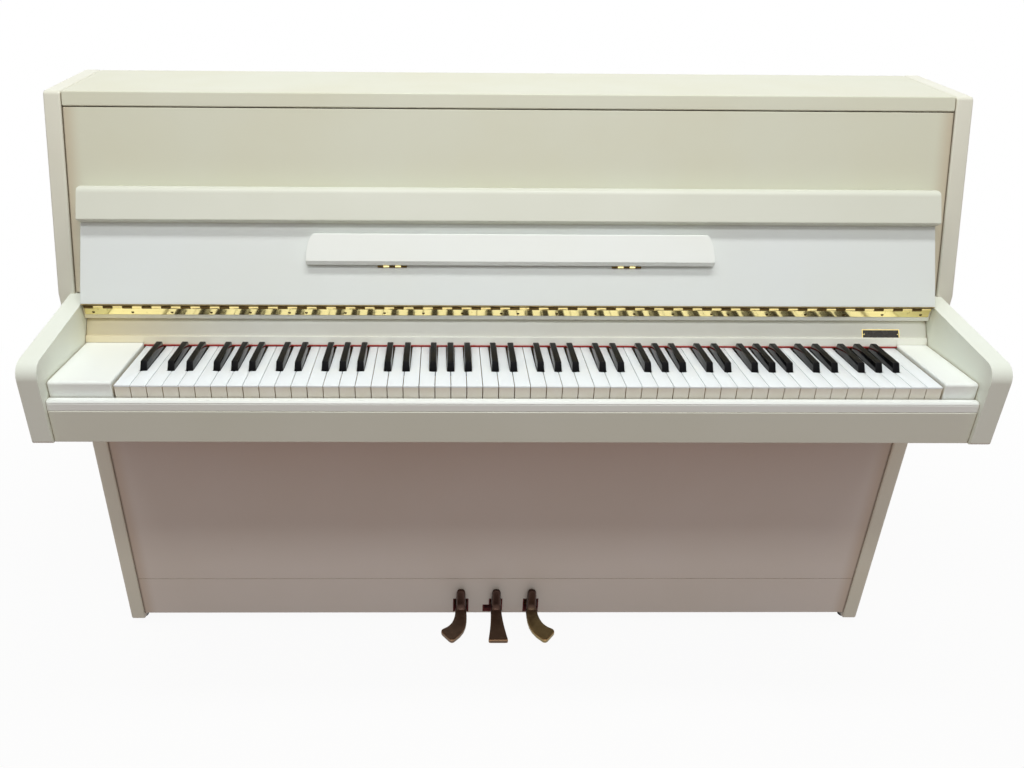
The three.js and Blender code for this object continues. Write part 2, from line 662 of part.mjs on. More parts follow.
// ---- Upper panel: leans with the front edges of the sides ----
const panelFrame = new THREE.Group();
panelFrame.position.set(0, yCase, zBend);
panelFrame.rotation.x = -FRONT_LEAN;
piano.add(panelFrame);
const lidDrop = LID_T / Math.cos(TOP_SLOPE);
const zPanelTop = meetLeanTop(lidDrop) - LID_SHADOW;
const panelShape = outline([
  [yPanelFoot, zPanelFoot],
  [yPanelFoot + PANEL_T / Math.cos(FRONT_LEAN), zPanelFoot],
  [lean(zPanelTop) + PANEL_RECESS + PANEL_T / Math.cos(FRONT_LEAN), zPanelTop],
  [lean(zPanelTop) + PANEL_RECESS, zPanelTop],
]);
const xPanel = xCase - PANEL_SIDE_GAP;
const upper = piece('upper_panel', alongX(panelShape, -xPanel, xPanel), lacquer, panelFrame);
upper.geometry.translate(0, -yCase, -zBend).rotateX(FRONT_LEAN);

// ---- Lid and its continuous hinge on the back ----
const lidPinY = yBack - KNUCKLE_R - FIT;
const yFrameBack = yBack - LEAF_SPACE;
const lidPinZ = topLine(yFrameBack) - lidDrop - FIT;
const lidHinge = new THREE.Group();
lidHinge.position.set(0, lidPinY, lidPinZ);
piano.add(lidHinge);
const xLid = xCase - LID_SIDE_GAP;
const zLidFront = meetLeanTop(lidDrop);
const lidShape = outline([
  [lean(zLidFront), zLidFront], [yFrameBack, topLine(yFrameBack) - lidDrop],
  [yFrameBack, topLine(yFrameBack)], [lean(zTopFront), zTopFront, LID_EDGE_R],
].map(([y, z, r]) => [y - lidPinY, z - lidPinZ, r]));
piece('top_lid', alongX(lidShape, -xLid, xLid), lacquer, lidHinge);
const lidSpan = {
  x0: -xLid + LID_HINGE_INSET, x1: xLid - LID_HINGE_INSET, pitch: LID_KNUCKLE_PITCH, r: KNUCKLE_R,
};
piece('lid_hinge_moving', hingeLeaf({
  ...lidSpan, width: LID_LEAF_W, side: 1, turn: Math.PI, moving: true,
}), brass, lidHinge);
piece('lid_hinge_fixed', hingeLeaf({
  ...lidSpan, width: LID_LEAF_W, side: -1, turn: 0, moving: false,
}), brass, lidHinge);

// ---- Lower panel, bottom rail and bottom board ----
const xInner = xCase - FIT;
piece('lower_panel', block(-xInner, xInner, yLower, yLower + PANEL_T, LOWER_JOINT, ARM_BOTTOM - FIT),
  lacquer, piano);
const slots = PEDAL_X.map((x, i) => {
  const half = (i === 1 ? SLOT_MID_W : SLOT_W) / 2;
  return block(x - half, x + half, yLower - 1, yLower + LOWER_RAIL_T + 1, SLOT_BOTTOM, SLOT_TOP);
});
slots.push(block(PEDAL_X[1] - SLOT_MID_W / 2 - SLOT_NOTCH_W, PEDAL_X[1],
  yLower - 1, yLower + LOWER_RAIL_T + 1, SLOT_BOTTOM, SLOT_NOTCH_TOP));
const lowerRail = solid(block(-xInner, xInner, yLower, yLower + LOWER_RAIL_T,
  LOWER_RAIL_BOTTOM, LOWER_JOINT - FIT));
piece('bottom_rail', surface(lowerRail.subtract(joined(slots))), lacquer, piano);
const yBase = yLower + LOWER_RAIL_T + FIT;
const trapPivotX = PEDAL_X.map((x, i) => x - TRAP_SIDE[i] * TRAP_ARM[i]);
const trapZ = LEVER_TOP + TRAP_LIFT;
const baseParts = [block(-xInner, xInner, yBase, yBase + BASE_D, FOOT_H, FOOT_H + BASE_T)];
TRAP_ROW.forEach((row, i) => {
  const y = yLower + row;
  const x = trapPivotX[i];
  const fulcrum = outline([
    [x - FULCRUM_HALF, FOOT_H + 2], [x + FULCRUM_HALF, FOOT_H + 2],
    [x + FULCRUM_HALF, trapZ - FULCRUM_TAPER], [x + TRAP_EDGE, trapZ - FIT],
    [x - TRAP_EDGE, trapZ - FIT], [x - FULCRUM_HALF, trapZ - FULCRUM_TAPER],
  ]);
  baseParts.push(alongY(fulcrum, y - TRAP_S / 2, y + TRAP_S / 2));
});
piece('bottom_board', surface(joined(baseParts)), wood, piano);

// ---- Pedals, their pivot rail, trap levers and rods ----
const yHump = yLower - PEDAL_HUMP_CLEAR;
const yHumpFront = yHump - PEDAL_HUMP_D;
const zPadFoot = PEDAL_PAD_TOP - PEDAL_PAD_T;
const yPivot = yLower + PIVOT_Y;
const zPivot = (LEVER_BOTTOM + LEVER_TOP) / 2;
const humpShape = outline([
  [yHump, LEVER_BOTTOM], [yHump, PEDAL_HUMP_TOP, 5],
  [yHumpFront, PEDAL_HUMP_TOP, 6],
  [yHumpFront - 2, PEDAL_PAD_TOP + PEDAL_HUMP_FOOT],
  [yHumpFront - PEDAL_HUMP_FOOT, PEDAL_PAD_TOP], [yHumpFront - PEDAL_HUMP_FOOT, zPadFoot + 1],
  [yHump - 3, zPadFoot + 1],
]);
const yToe = yLower - PEDAL_REACH;
const yNeck = yHumpFront + 2;

// Plan of a foot pad: straight for the middle pedal, swept outwards for the outer ones.
function padShape(sweep) {
  const shape = new THREE.Shape();
  const span = yNeck - yToe;
  if (sweep === 0) {
    const neck = PAD_NECK_W / 2;
    const toe = PAD_TOE_W / 2;
    shape.moveTo(-neck, yNeck);
    shape.quadraticCurveTo(-neck, yNeck - span * 0.4, -toe, yToe + 3);
    shape.quadraticCurveTo(-toe, yToe, 4 - toe, yToe);
    shape.lineTo(toe - 4, yToe);
    shape.quadraticCurveTo(toe, yToe, toe, yToe + 3);
    shape.quadraticCurveTo(neck, yNeck - span * 0.4, neck, yNeck);
    return shape;
  }
  shape.moveTo(-sweep * 11, yNeck);
  shape.bezierCurveTo(-sweep * 12, yNeck - span * 0.45, -sweep * 12, yNeck - span * 0.7,
    sweep * 14, yToe + 2);
  shape.quadraticCurveTo(sweep * 19, yToe - 2, sweep * 24, yToe + 3);
  shape.lineTo(sweep * 38, yToe + span * 0.24);
  shape.quadraticCurveTo(sweep * 42, yToe + span * 0.33, sweep * 35, yToe + span * 0.38);
  shape.bezierCurveTo(sweep * 22, yToe + span * 0.45, sweep * 12, yNeck - span * 0.4,
    sweep * 11, yNeck);
  return shape;
}

const notches = [];
PEDAL_X.forEach((x, i) => {
  const name = ['left', 'middle', 'right'][i];
  const tailEnd = TRAP_ROW[i] - PIVOT_Y + TRAP_END;
  const pedal = new THREE.Group();
  pedal.position.set(x, yPivot, zPivot);
  piano.add(pedal);
  const padPlan = alongZ(padShape([-1, 0, 1][i]), zPadFoot, PEDAL_PAD_TOP);
  const body = joined([
    padPlan,
    alongX(humpShape, -PEDAL_HUMP_W / 2, PEDAL_HUMP_W / 2),
    block(-LEVER_W / 2, LEVER_W / 2, yHump - 3, yPivot + tailEnd, LEVER_BOTTOM, LEVER_TOP),
    rodX(-LEVER_W / 2 - PIVOT_PIN, LEVER_W / 2 + PIVOT_PIN, yPivot, zPivot, PIVOT_R, 12),
  ]);
  piece(`pedal_${name}`, surface(body).translate(0, -yPivot, -zPivot), bronze, pedal);
  const half = LEVER_W / 2 + LEVER_PLAY;
  const pin = LEVER_W / 2 + PIVOT_PIN + 1;
  notches.push(block(x - half, x + half, yPivot - PIVOT_RAIL_D, yPivot + PIVOT_RAIL_D,
    LEVER_BOTTOM - LEVER_DROP, PIVOT_RAIL_TOP + 1));
  notches.push(rodX(x - pin, x + pin, yPivot, zPivot, PIVOT_R + PIVOT_PLAY, 12));

  const trap = new THREE.Group();
  trap.position.set(trapPivotX[i], yLower + TRAP_ROW[i], trapZ);
  piano.add(trap);
  const reach = [TRAP_SIDE[i] * -TRAP_HEEL, TRAP_SIDE[i] * (TRAP_THROW + ROD_R + TRAP_END)].sort((a, b) => a - b);
  piece(`trap_lever_${name}`, block(...reach, -TRAP_S / 2, TRAP_S / 2, 0, TRAP_S), wood, trap);
  const rod = new THREE.CylinderGeometry(ROD_R, ROD_R, ROD_TOP - trapZ - TRAP_S - ROD_LIFT, 12)
    .rotateX(Math.PI / 2);
  const dowel = piece(`trap_rod_${name}`, rod, wood, piano);
  dowel.position.set(trapPivotX[i] + TRAP_SIDE[i] * TRAP_THROW, yLower + TRAP_ROW[i],
    (ROD_TOP + trapZ + TRAP_S + ROD_LIFT) / 2);
});
const pivotRail = solid(block(PEDAL_X[0] - PIVOT_RAIL_END, PEDAL_X[2] + PIVOT_RAIL_END, yPivot - PIVOT_RAIL_D / 2,
  yPivot + PIVOT_RAIL_D / 2, FOOT_H + BASE_T + FIT, PIVOT_RAIL_TOP));
piece('pedal_pivot_rail', surface(pivotRail.subtract(joined(notches))), wood, piano);

// ---- Strung back: posts, soundboard, plate and pin block ----
const zFrameFoot = FOOT_H + BASE_T + FIT + FRAME_LIFT;
const zFrameTop = topLine(yFrame) - lidDrop - FRAME_DROP;
const frameBody = solid(block(-xInner, xInner, yFrame, yFrameBack, zFrameFoot, zFrameTop));
const windows = [];
const windowW = (2 * xInner - POST_COUNT * POST_W) / (POST_COUNT - 1);
for (let k = 0; k + 1 < POST_COUNT; k += 1) {
  const x = -xInner + POST_W + k * (windowW + POST_W);
  windows.push(block(x, x + windowW, yFrame - 1, yFrameBack + 1,
    zFrameFoot + BEAM_H, zFrameTop - BEAM_H));
}
piece('back_frame', surface(frameBody.subtract(joined(windows))), wood, piano);

const zPinBlockTop = zFrameTop - STRUNG_GAP;
const zPinBlock = zPinBlockTop - PIN_BLOCK_H;
const xStrung = xInner - STRUNG_INSET;
piece('pin_block', block(-xStrung, xStrung, yPinBlock, yFrame - FIT, zPinBlock, zPinBlockTop),
  wood, piano);
const zBoardFoot = zFrameFoot + STRUNG_FOOT;
const zBoardTop = zPinBlock - STRUNG_GAP;
const yBoardFace = yBoardBack - BOARD_THK;
const soundParts = [block(-xStrung, xStrung, yBoardFace, yBoardBack, zBoardFoot, zBoardTop)];
for (let k = 0; k < RIB_COUNT; k += 1) {
  const x = -xStrung + (k + 0.75) * 2 * xStrung / (RIB_COUNT + 0.5);
  const run = (zBoardTop - zBoardFoot) * RIB_REACH;
  const slide = run * RIB_SLANT;
  const mid = (zBoardTop + zBoardFoot) / 2;
  const rib = outline([
    [x - slide - RIB_W / 2, mid - run], [x - slide + RIB_W / 2, mid - run],
    [x + slide + RIB_W / 2, mid + run], [x + slide - RIB_W / 2, mid + run],
  ]);
  soundParts.push(alongY(rib, yBoardBack - 1, yBoardBack + RIB_D));
}
const bridgeLine = new THREE.CatmullRomCurve3([
  [-0.86, 0.30], [-0.45, 0.20], [0.05, 0.34], [0.45, 0.62], [0.86, 0.93],
].map(([a, b]) => new THREE.Vector3(a * xStrung, yBoardFace,
  zBoardFoot + b * (zBoardTop - zBoardFoot))));
const bridgePoints = bridgeLine.getPoints(BRIDGE_STEPS);
const bridgeEdge = (side) => bridgePoints.map((p, k) => {
  const t = bridgeLine.getTangent(k / BRIDGE_STEPS);
  return [p.x - side * t.z * BRIDGE_HALF, p.z + side * t.x * BRIDGE_HALF];
});
soundParts.push(alongY(outline([...bridgeEdge(-1), ...bridgeEdge(1).reverse()]),
  yBoardFace - BRIDGE_H, yBoardFace + 1));
piece('soundboard', surface(joined(soundParts)), spruce, piano);

const plateBody = solid(alongY(rect(-xStrung, xStrung, zBoardFoot, zPinBlockTop, PLATE_R),
  yPlate, yPlate + PLATE_T));
const bays = [];
const bay = (2 * (xStrung - PLATE_RIM) - (PLATE_BARS - 1) * BAR_W) / PLATE_BARS;
for (let k = 0; k < PLATE_BARS; k += 1) {
  const x0 = -xStrung + PLATE_RIM + k * (bay + BAR_W);
  bays.push(alongY(rect(x0, x0 + bay, zBoardFoot + BAY_FOOT, zPinBlock - BAY_TOP, BAY_R),
    yPlate - 1, yPlate + PLATE_T + 1));
}
piece('iron_plate', surface(plateBody.subtract(joined(bays))), plateGold, piano);

// ---- Action: rail on two standards, with the row of hammers ----
const xActionLow = xKeys - BLOCK_GAP - STANDARD_W;
const xActionHigh = xKeysEnd + BLOCK_GAP + STANDARD_W;
const zRailHead = ACTION_RAIL_Z + ACTION_RAIL_H;
const zHammer = zRailHead + STRIKE * (topLine(ACTION_Y) - lidDrop - zRailHead);
const hammerShape = outline([
  [ACTION_Y - SHANK_HALF, zRailHead - HAMMER_TAIL],
  [ACTION_Y + SHANK_HALF, zRailHead - HAMMER_TAIL],
  ...HAMMER_HEAD.map(([y, z]) => [ACTION_Y + y, zHammer + z]),
]);
const actionParts = [
  block(xActionLow, xActionHigh, ACTION_Y - ACTION_RAIL_D / 2, ACTION_Y + ACTION_RAIL_D / 2,
    ACTION_RAIL_Z, zRailHead),
];
for (const x of [xActionLow, xActionHigh - STANDARD_W]) {
  actionParts.push(block(x, x + STANDARD_W, ACTION_Y - STANDARD_D[0], ACTION_Y + STANDARD_D[1],
    zBed + FIT, ACTION_RAIL_Z + 1));
}
const hammerSpan = xActionHigh - xActionLow - 2 * STANDARD_W - HAMMER_W;
for (let k = 0; k < HAMMER_COUNT; k += 1) {
  const x = xActionLow + STANDARD_W + k * hammerSpan / (HAMMER_COUNT - 1);
  actionParts.push(alongX(hammerShape, x, x + HAMMER_W));
}
piece('action', surface(joined(actionParts)), wood, piano);

export default piano;
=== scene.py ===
import json
import math

import bmesh
import bpy
from mathutils import Matrix, Vector, noise


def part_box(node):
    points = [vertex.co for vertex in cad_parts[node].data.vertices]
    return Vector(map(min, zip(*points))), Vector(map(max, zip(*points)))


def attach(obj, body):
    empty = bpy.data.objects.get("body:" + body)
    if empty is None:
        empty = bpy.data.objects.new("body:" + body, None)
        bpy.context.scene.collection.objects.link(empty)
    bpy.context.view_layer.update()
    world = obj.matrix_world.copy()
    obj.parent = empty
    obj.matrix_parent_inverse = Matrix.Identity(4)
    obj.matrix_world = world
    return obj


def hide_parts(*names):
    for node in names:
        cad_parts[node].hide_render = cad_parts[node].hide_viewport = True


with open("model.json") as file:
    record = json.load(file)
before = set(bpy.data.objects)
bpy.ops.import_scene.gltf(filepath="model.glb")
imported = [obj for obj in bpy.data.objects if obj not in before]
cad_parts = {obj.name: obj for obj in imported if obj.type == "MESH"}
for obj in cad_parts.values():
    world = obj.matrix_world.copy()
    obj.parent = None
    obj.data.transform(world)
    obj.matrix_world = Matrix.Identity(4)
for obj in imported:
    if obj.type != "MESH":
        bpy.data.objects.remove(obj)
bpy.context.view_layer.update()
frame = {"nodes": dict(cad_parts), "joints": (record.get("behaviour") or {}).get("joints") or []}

# An upright piano of the low console kind, in warm white satin lacquer, with its keyboard open.
# Sizes are in millimetres and are turned to metres as each mesh is made.
# X is the player's right, Y the back, Z up, and Z = 0 the floor.
NODES = frame["nodes"]
MM = 0.001


# ---- Measures from the frame ----
def box_mm(node):
    """A CAD node's lowest and highest corners, in millimetres."""
    low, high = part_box(node)
    return low / MM, high / MM


def joint_mm(name):
    """A point on a joint's axis, in millimetres."""
    found = next(joint for joint in frame["joints"] if joint["name"] == name)
    return Vector(found["pos_m"]) / MM


PANEL_END = box_mm("lower_panel")[1].x      # from the middle to where panels meet the sides
PEDAL_FACE = box_mm("bottom_rail")[0].y     # the face of the rail that the pedals come through
FRAME_BEAM_H = 95.0                         # height of the back frame's top and bottom beams
FRAME_FOOT, FRAME_HEAD = (corner.z for corner in box_mm("back_frame"))


# ---- Camera ----
LENS = 29.26
SENSOR = 36.0
CAMERA_AT = (-0.1046, -1.3425, 1.1422)
CAMERA_TURN = (61.679, -0.427, -0.579)
CAMERA_SHIFT = (0.0557, 0.0501)


def make_camera():
    """A standing player's eye, a little left of the middle, looking down on the keys."""
    data = bpy.data.cameras.new("camera")
    data.lens = LENS
    data.sensor_width = SENSOR
    data.shift_x, data.shift_y = CAMERA_SHIFT
    data.clip_start = 0.05
    camera = bpy.data.objects.new("camera", data)
    camera.location = CAMERA_AT
    camera.rotation_euler = [math.radians(angle) for angle in CAMERA_TURN]
    bpy.context.scene.collection.objects.link(camera)
    bpy.context.scene.camera = camera


make_camera()


# ---- Material helpers ----
NOISE = "ShaderNodeTexNoise"
VORONOI = "ShaderNodeTexVoronoi"
WAVE = "ShaderNodeTexWave"
MIX = "ShaderNodeMix"
RANGE = "ShaderNodeMapRange"
BUMP = "ShaderNodeBump"
MAPPING = "ShaderNodeMapping"
MIX_A, MIX_B, MIX_OUT = 6, 7, 2             # the colour sockets of a Mix node
VECTOR_A, VECTOR_B, VECTOR_OUT = 4, 5, 1    # and its vector sockets


def colour(code):
    """An sRGB hex colour as linear RGBA."""
    steps = [int(code[i:i + 2], 16) / 255 for i in (0, 2, 4)]
    return (*[c / 12.92 if c <= 0.04045 else ((c + 0.055) / 1.055) ** 2.4 for c in steps], 1)


def per(spacing):
    """The scale of a pattern that repeats every so many millimetres."""
    return 1 / (spacing * MM)


def add(tree, kind, inputs=None, **settings):
    """Adds a node. An input is a value, or a link written (node, output)."""
    made = tree.nodes.new(kind)
    for name, value in settings.items():
        setattr(made, name, value)
    for name, value in (inputs or {}).items():
        if isinstance(value, tuple) and isinstance(value[0], bpy.types.Node):
            tree.links.new(value[0].outputs[value[1]], made.inputs[name])
        else:
            made.inputs[name].default_value = value
    return made


def begin(name, **values):
    """A new material: its node tree, its shader with plain values set, and its coordinates."""
    material = bpy.data.materials.new(name)
    material.use_nodes = True
    tree = material.node_tree
    shader = tree.nodes["Principled BSDF"]
    for socket, value in values.items():
        shader.inputs[socket.replace("_", " ")].default_value = value
    return material, tree, shader, add(tree, "ShaderNodeTexCoord")


def link(tree, source, output, shader, socket):
    """Links a node's output to a socket of the shader."""
    tree.links.new(source.outputs[output], shader.inputs[socket])


# ---- Finishes ----
JOINT_GRIME_AND_SHADE = ((30.0, 0.45, "B89A74"),       # reach from the joint, share at it, and tone:
              (4.5, 0.85, "5A4636"))        # a broad tan band of grime and painted shade first, then a dark line of painted shade for the gap in the joint itself


def satin_lacquer(name, fresh, cloudy, grime_and_shade, yellow_span=None, joint=None):
    """Sprayed satin lacquer over filled board: an even warm white with a soft sheen, yellowed in
    broad clouds, with the ripple of a spray gun and a few specks of dust. Crevices and the places
    under and between parts are drawn toward yellow-brown by ambient occlusion: grime there, and
    painted shade.
    A piece with a yellow span turns yellow-beige along X, from the first of two places to the
    second. One with a joint is browned where it meets the two sides, at that distance from the
    middle, with grime and with painted shade for the gap there."""
    material, tree, shader, at = begin(name, IOR=1.5)
    cloud = add(tree, NOISE, {"Vector": (at, "Object"), "Scale": per(240), "Detail": 3.0})
    cloud_share = add(tree, RANGE, {"Value": (cloud, "Fac"), "From Min": 0.38, "From Max": 0.72,
                                    "To Max": 0.6})
    tone = add(tree, MIX, {0: (cloud_share, "Result"), MIX_A: colour(fresh),
                           MIX_B: colour(cloudy)}, data_type="RGBA")
    # A yellow-beige tint along X, strongest at the first of two places and gone by the second
    if yellow_span:
        place = add(tree, "ShaderNodeSeparateXYZ", {"Vector": (at, "Object")})
        yellow_share = add(tree, RANGE, {"Value": (place, "X"), "From Min": yellow_span[0] * MM,
                                  "From Max": yellow_span[1] * MM, "To Min": 0.85, "To Max": 0.0},
                    interpolation_type="SMOOTHSTEP")
        tone = add(tree, MIX, {0: (yellow_share, "Result"), MIX_A: (tone, MIX_OUT),
                               MIX_B: colour("E6D8AE")}, data_type="RGBA")
    # Grime and painted shade where the panel meets the sides: a broad tan band, then a dark line
    # standing for the shadowed gap
    if joint:
        place = add(tree, "ShaderNodeSeparateXYZ", {"Vector": (at, "Object")})
        off = add(tree, "ShaderNodeMath", {0: (place, "X")}, operation="ABSOLUTE")
        for reach, share, code in JOINT_GRIME_AND_SHADE:
            grime_and_shade_band = add(tree, RANGE, {"Value": (off, "Value"), "From Min": (joint - reach) * MM,
                                     "From Max": joint * MM, "To Max": share},
                       interpolation_type="SMOOTHSTEP")
            tone = add(tree, MIX, {0: (grime_and_shade_band, "Result"), MIX_A: (tone, MIX_OUT),
                                   MIX_B: colour(code)}, data_type="RGBA")
    # Grime and painted shade: where ambient occlusion finds crevices and places under and between
    # parts, the tone is drawn toward yellow-brown
    occlusion = add(tree, "ShaderNodeAmbientOcclusion", {"Distance": 9 * MM}, samples=6)
    occlusion_share = add(tree, RANGE, {"Value": (occlusion, "AO"), "From Min": 0.66,
                                      "From Max": 0.2, "To Max": grime_and_shade})
    grime_and_shade_tone = add(tree, MIX, {0: (occlusion_share, "Result"), MIX_A: (tone, MIX_OUT),
                           MIX_B: colour("A8936A")}, data_type="RGBA")
    dust = add(tree, VORONOI, {"Vector": (at, "Object"), "Scale": per(70)}, feature="F1")
    dust_share = add(tree, RANGE, {"Value": (dust, "Distance"), "From Min": 0.013,
                                   "From Max": 0.006, "To Max": 0.5})
    finish = add(tree, MIX, {0: (dust_share, "Result"), MIX_A: (grime_and_shade_tone, MIX_OUT),
                             MIX_B: colour("8A8474")}, data_type="RGBA")
    link(tree, finish, MIX_OUT, shader, "Base Color")
    rub = add(tree, NOISE, {"Vector": (at, "Object"), "Scale": per(60), "Detail": 4.0})
    sheen = add(tree, RANGE, {"Value": (rub, "Fac"), "To Min": 0.27, "To Max": 0.43})
    link(tree, sheen, "Result", shader, "Roughness")
    peel = add(tree, NOISE, {"Vector": (at, "Object"), "Scale": per(3.2), "Detail": 1.0})
    ripple = add(tree, BUMP, {"Height": (peel, "Fac"), "Strength": 0.05, "Distance": 0.2 * MM})
    link(tree, ripple, "Normal", shader, "Normal")
    return material


def key_acrylic():
    """Cast acrylic key covering: a cool bright white with a clean gloss, dulled by fingers."""
    material, tree, shader, at = begin("key_acrylic", IOR=1.49)
    stain = add(tree, NOISE, {"Vector": (at, "Object"), "Scale": per(38), "Detail": 2.0})
    tone = add(tree, MIX, {0: (stain, "Fac"), MIX_A: colour("F3FAFD"),
                           MIX_B: colour("F1F6F7")}, data_type="RGBA")
    link(tree, tone, MIX_OUT, shader, "Base Color")
    touch = add(tree, NOISE, {"Vector": (at, "Object"), "Scale": per(9), "Detail": 5.0})
    gloss = add(tree, RANGE, {"Value": (touch, "Fac"), "To Min": 0.14, "To Max": 0.32})
    link(tree, gloss, "Result", shader, "Roughness")
    return material


def key_front_acrylic():
    """The fronts of the same coverings in a darker cream, as painted shade on faces turned away
    from the lamps above.
    """
    material, tree, shader, at = begin("key_front_acrylic", IOR=1.49, Roughness=0.32)
    front_mottle = add(tree, NOISE, {"Vector": (at, "Object"), "Scale": per(16), "Detail": 3.0})
    tone = add(tree, MIX, {0: (front_mottle, "Fac"), MIX_A: colour("F7F4EA"),
                           MIX_B: colour("EBE6D4")}, data_type="RGBA")
    link(tree, tone, MIX_OUT, shader, "Base Color")
    return material


def ebonised_key():
    """Black key: a deep clean black, its sides polished and its top dulled by
    fingers."""
    material, tree, shader, at = begin("ebonised_key", IOR=1.5, Specular_IOR_Level=0.5)
    touch = add(tree, NOISE, {"Vector": (at, "Object"), "Scale": per(14), "Detail": 3.0})
    tone = add(tree, MIX, {0: (touch, "Fac"), MIX_A: colour("08080A"),
                           MIX_B: colour("111113")}, data_type="RGBA")
    link(tree, tone, MIX_OUT, shader, "Base Color")
    shape = add(tree, "ShaderNodeNewGeometry")
    normal = add(tree, "ShaderNodeSeparateXYZ", {"Vector": (shape, "Normal")})
    facing = add(tree, "ShaderNodeMath", {0: (normal, "X")}, operation="ABSOLUTE")
    dulled = add(tree, RANGE, {"Value": (facing, "Value"), "From Min": 0.4, "From Max": 0.9,
                               "To Min": 0.36, "To Max": 0.1})
    link(tree, dulled, "Result", shader, "Roughness")
    sheen = add(tree, RANGE, {"Value": (facing, "Value"), "From Min": 0.4, "From Max": 0.9,
                              "To Min": 0.07, "To Max": 0.62})
    link(tree, sheen, "Result", shader, "Specular IOR Level")
    return material


def polished_brass():
    """Rolled brass, buffed and lacquered: a bright yellow mirror, a little dulled in patches,
    with brown freckles where the lacquer has gone."""
    material, tree, shader, at = begin("polished_brass", Metallic=1.0)
    spots = add(tree, NOISE, {"Vector": (at, "Object"), "Scale": per(9), "Detail": 6.0})
    spot_share = add(tree, RANGE, {"Value": (spots, "Fac"), "From Min": 0.64, "From Max": 0.78,
                                   "To Max": 0.6})
    tone = add(tree, MIX, {0: (spot_share, "Result"), MIX_A: colour("FFEBA6"),
                           MIX_B: colour("A87F38")}, data_type="RGBA")
    link(tree, tone, MIX_OUT, shader, "Base Color")
    buff = add(tree, NOISE, {"Vector": (at, "Object"), "Scale": per(45), "Detail": 2.0})
    gloss = add(tree, RANGE, {"Value": (buff, "Fac"), "To Min": 0.03, "To Max": 0.12})
    link(tree, gloss, "Result", shader, "Roughness")
    return material


def shaded_brass():
    """The same brass darkened to brown as painted shade, its tone and gloss mottled: for hinge
    leaves, knuckles and screw heads that lie in shadow."""
    material, tree, shader, at = begin("shaded_brass", Metallic=0.85)
    mottle = add(tree, NOISE, {"Vector": (at, "Object"), "Scale": per(4), "Detail": 4.0})
    tone = add(tree, MIX, {0: (mottle, "Fac"), MIX_A: colour("4A3A22"),
                           MIX_B: colour("7A6236")}, data_type="RGBA")
    link(tree, tone, MIX_OUT, shader, "Base Color")
    gloss = add(tree, RANGE, {"Value": (mottle, "Fac"), "To Min": 0.3, "To Max": 0.5})
    link(tree, gloss, "Result", shader, "Roughness")
    return material


TREAD_START, TREAD_FULL = 20.0, 52.0        # feet rub a pedal from here to here past the rail


def pedal_bronze(name, light, dark, worn):
    """Cast bronze under an old brown patina, lighter where shoes tread on it and rubbed to bare
    metal on the edges there."""
    material, tree, shader, at = begin(name, Metallic=1.0)
    shape = add(tree, "ShaderNodeNewGeometry")
    place = add(tree, "ShaderNodeSeparateXYZ", {"Vector": (at, "Object")})
    trodden = add(tree, RANGE, {"Value": (place, "Y"),
                                "From Min": (PEDAL_FACE - TREAD_START) * MM,
                                "From Max": (PEDAL_FACE - TREAD_FULL) * MM})
    edge = add(tree, RANGE, {"Value": (shape, "Pointiness"), "From Min": 0.515,
                             "From Max": 0.55, "To Max": worn})
    toe = add(tree, "ShaderNodeMath", {0: (edge, "Result"), 1: (trodden, "Result")},
              operation="MULTIPLY")
    cast = add(tree, NOISE, {"Vector": (at, "Object"), "Scale": per(11), "Detail": 5.0})
    cloud = add(tree, MIX, {0: (cast, "Fac"), MIX_A: colour(dark),
                            MIX_B: colour(light)}, data_type="RGBA")
    patina = add(tree, MIX, {0: (trodden, "Result"), MIX_A: colour("44322C"),
                             MIX_B: (cloud, MIX_OUT)}, data_type="RGBA")
    tone = add(tree, MIX, {0: (toe, "Value"), MIX_A: (patina, MIX_OUT),
                           MIX_B: colour("B98C62")}, data_type="RGBA")
    link(tree, tone, MIX_OUT, shader, "Base Color")
    gloss = add(tree, RANGE, {"Value": (cast, "Fac"), "To Min": 0.27, "To Max": 0.46})
    link(tree, gloss, "Result", shader, "Roughness")
    grain = add(tree, NOISE, {"Vector": (at, "Object"), "Scale": per(1.5), "Detail": 2.0})
    pits = add(tree, BUMP, {"Height": (grain, "Fac"), "Strength": 0.12, "Distance": 0.2 * MM})
    link(tree, pits, "Normal", shader, "Normal")
    return material


def wool_felt(name, light, dark):
    """Pressed wool felt: matt, fibrous, with a soft nap."""
    material, tree, shader, at = begin(name, Roughness=0.95, Sheen_Weight=0.4)
    fibre = add(tree, NOISE, {"Vector": (at, "Object"), "Scale": per(1.1), "Detail": 5.0})
    tone = add(tree, MIX, {0: (fibre, "Fac"), MIX_A: colour(dark),
                           MIX_B: colour(light)}, data_type="RGBA")
    link(tree, tone, MIX_OUT, shader, "Base Color")
    nap = add(tree, BUMP, {"Height": (fibre, "Fac"), "Strength": 0.5, "Distance": 0.3 * MM})
    link(tree, nap, "Normal", shader, "Normal")
    return material


GRAIN_DRAW = 0.06                # patterns are drawn out along the grain by this share
RING_WANDER = 2.2                # rings wander by this many of their own widths
RING_WAVE = 0.16                 # wave scale for a ring a metre: twice too coarse, so that it shows


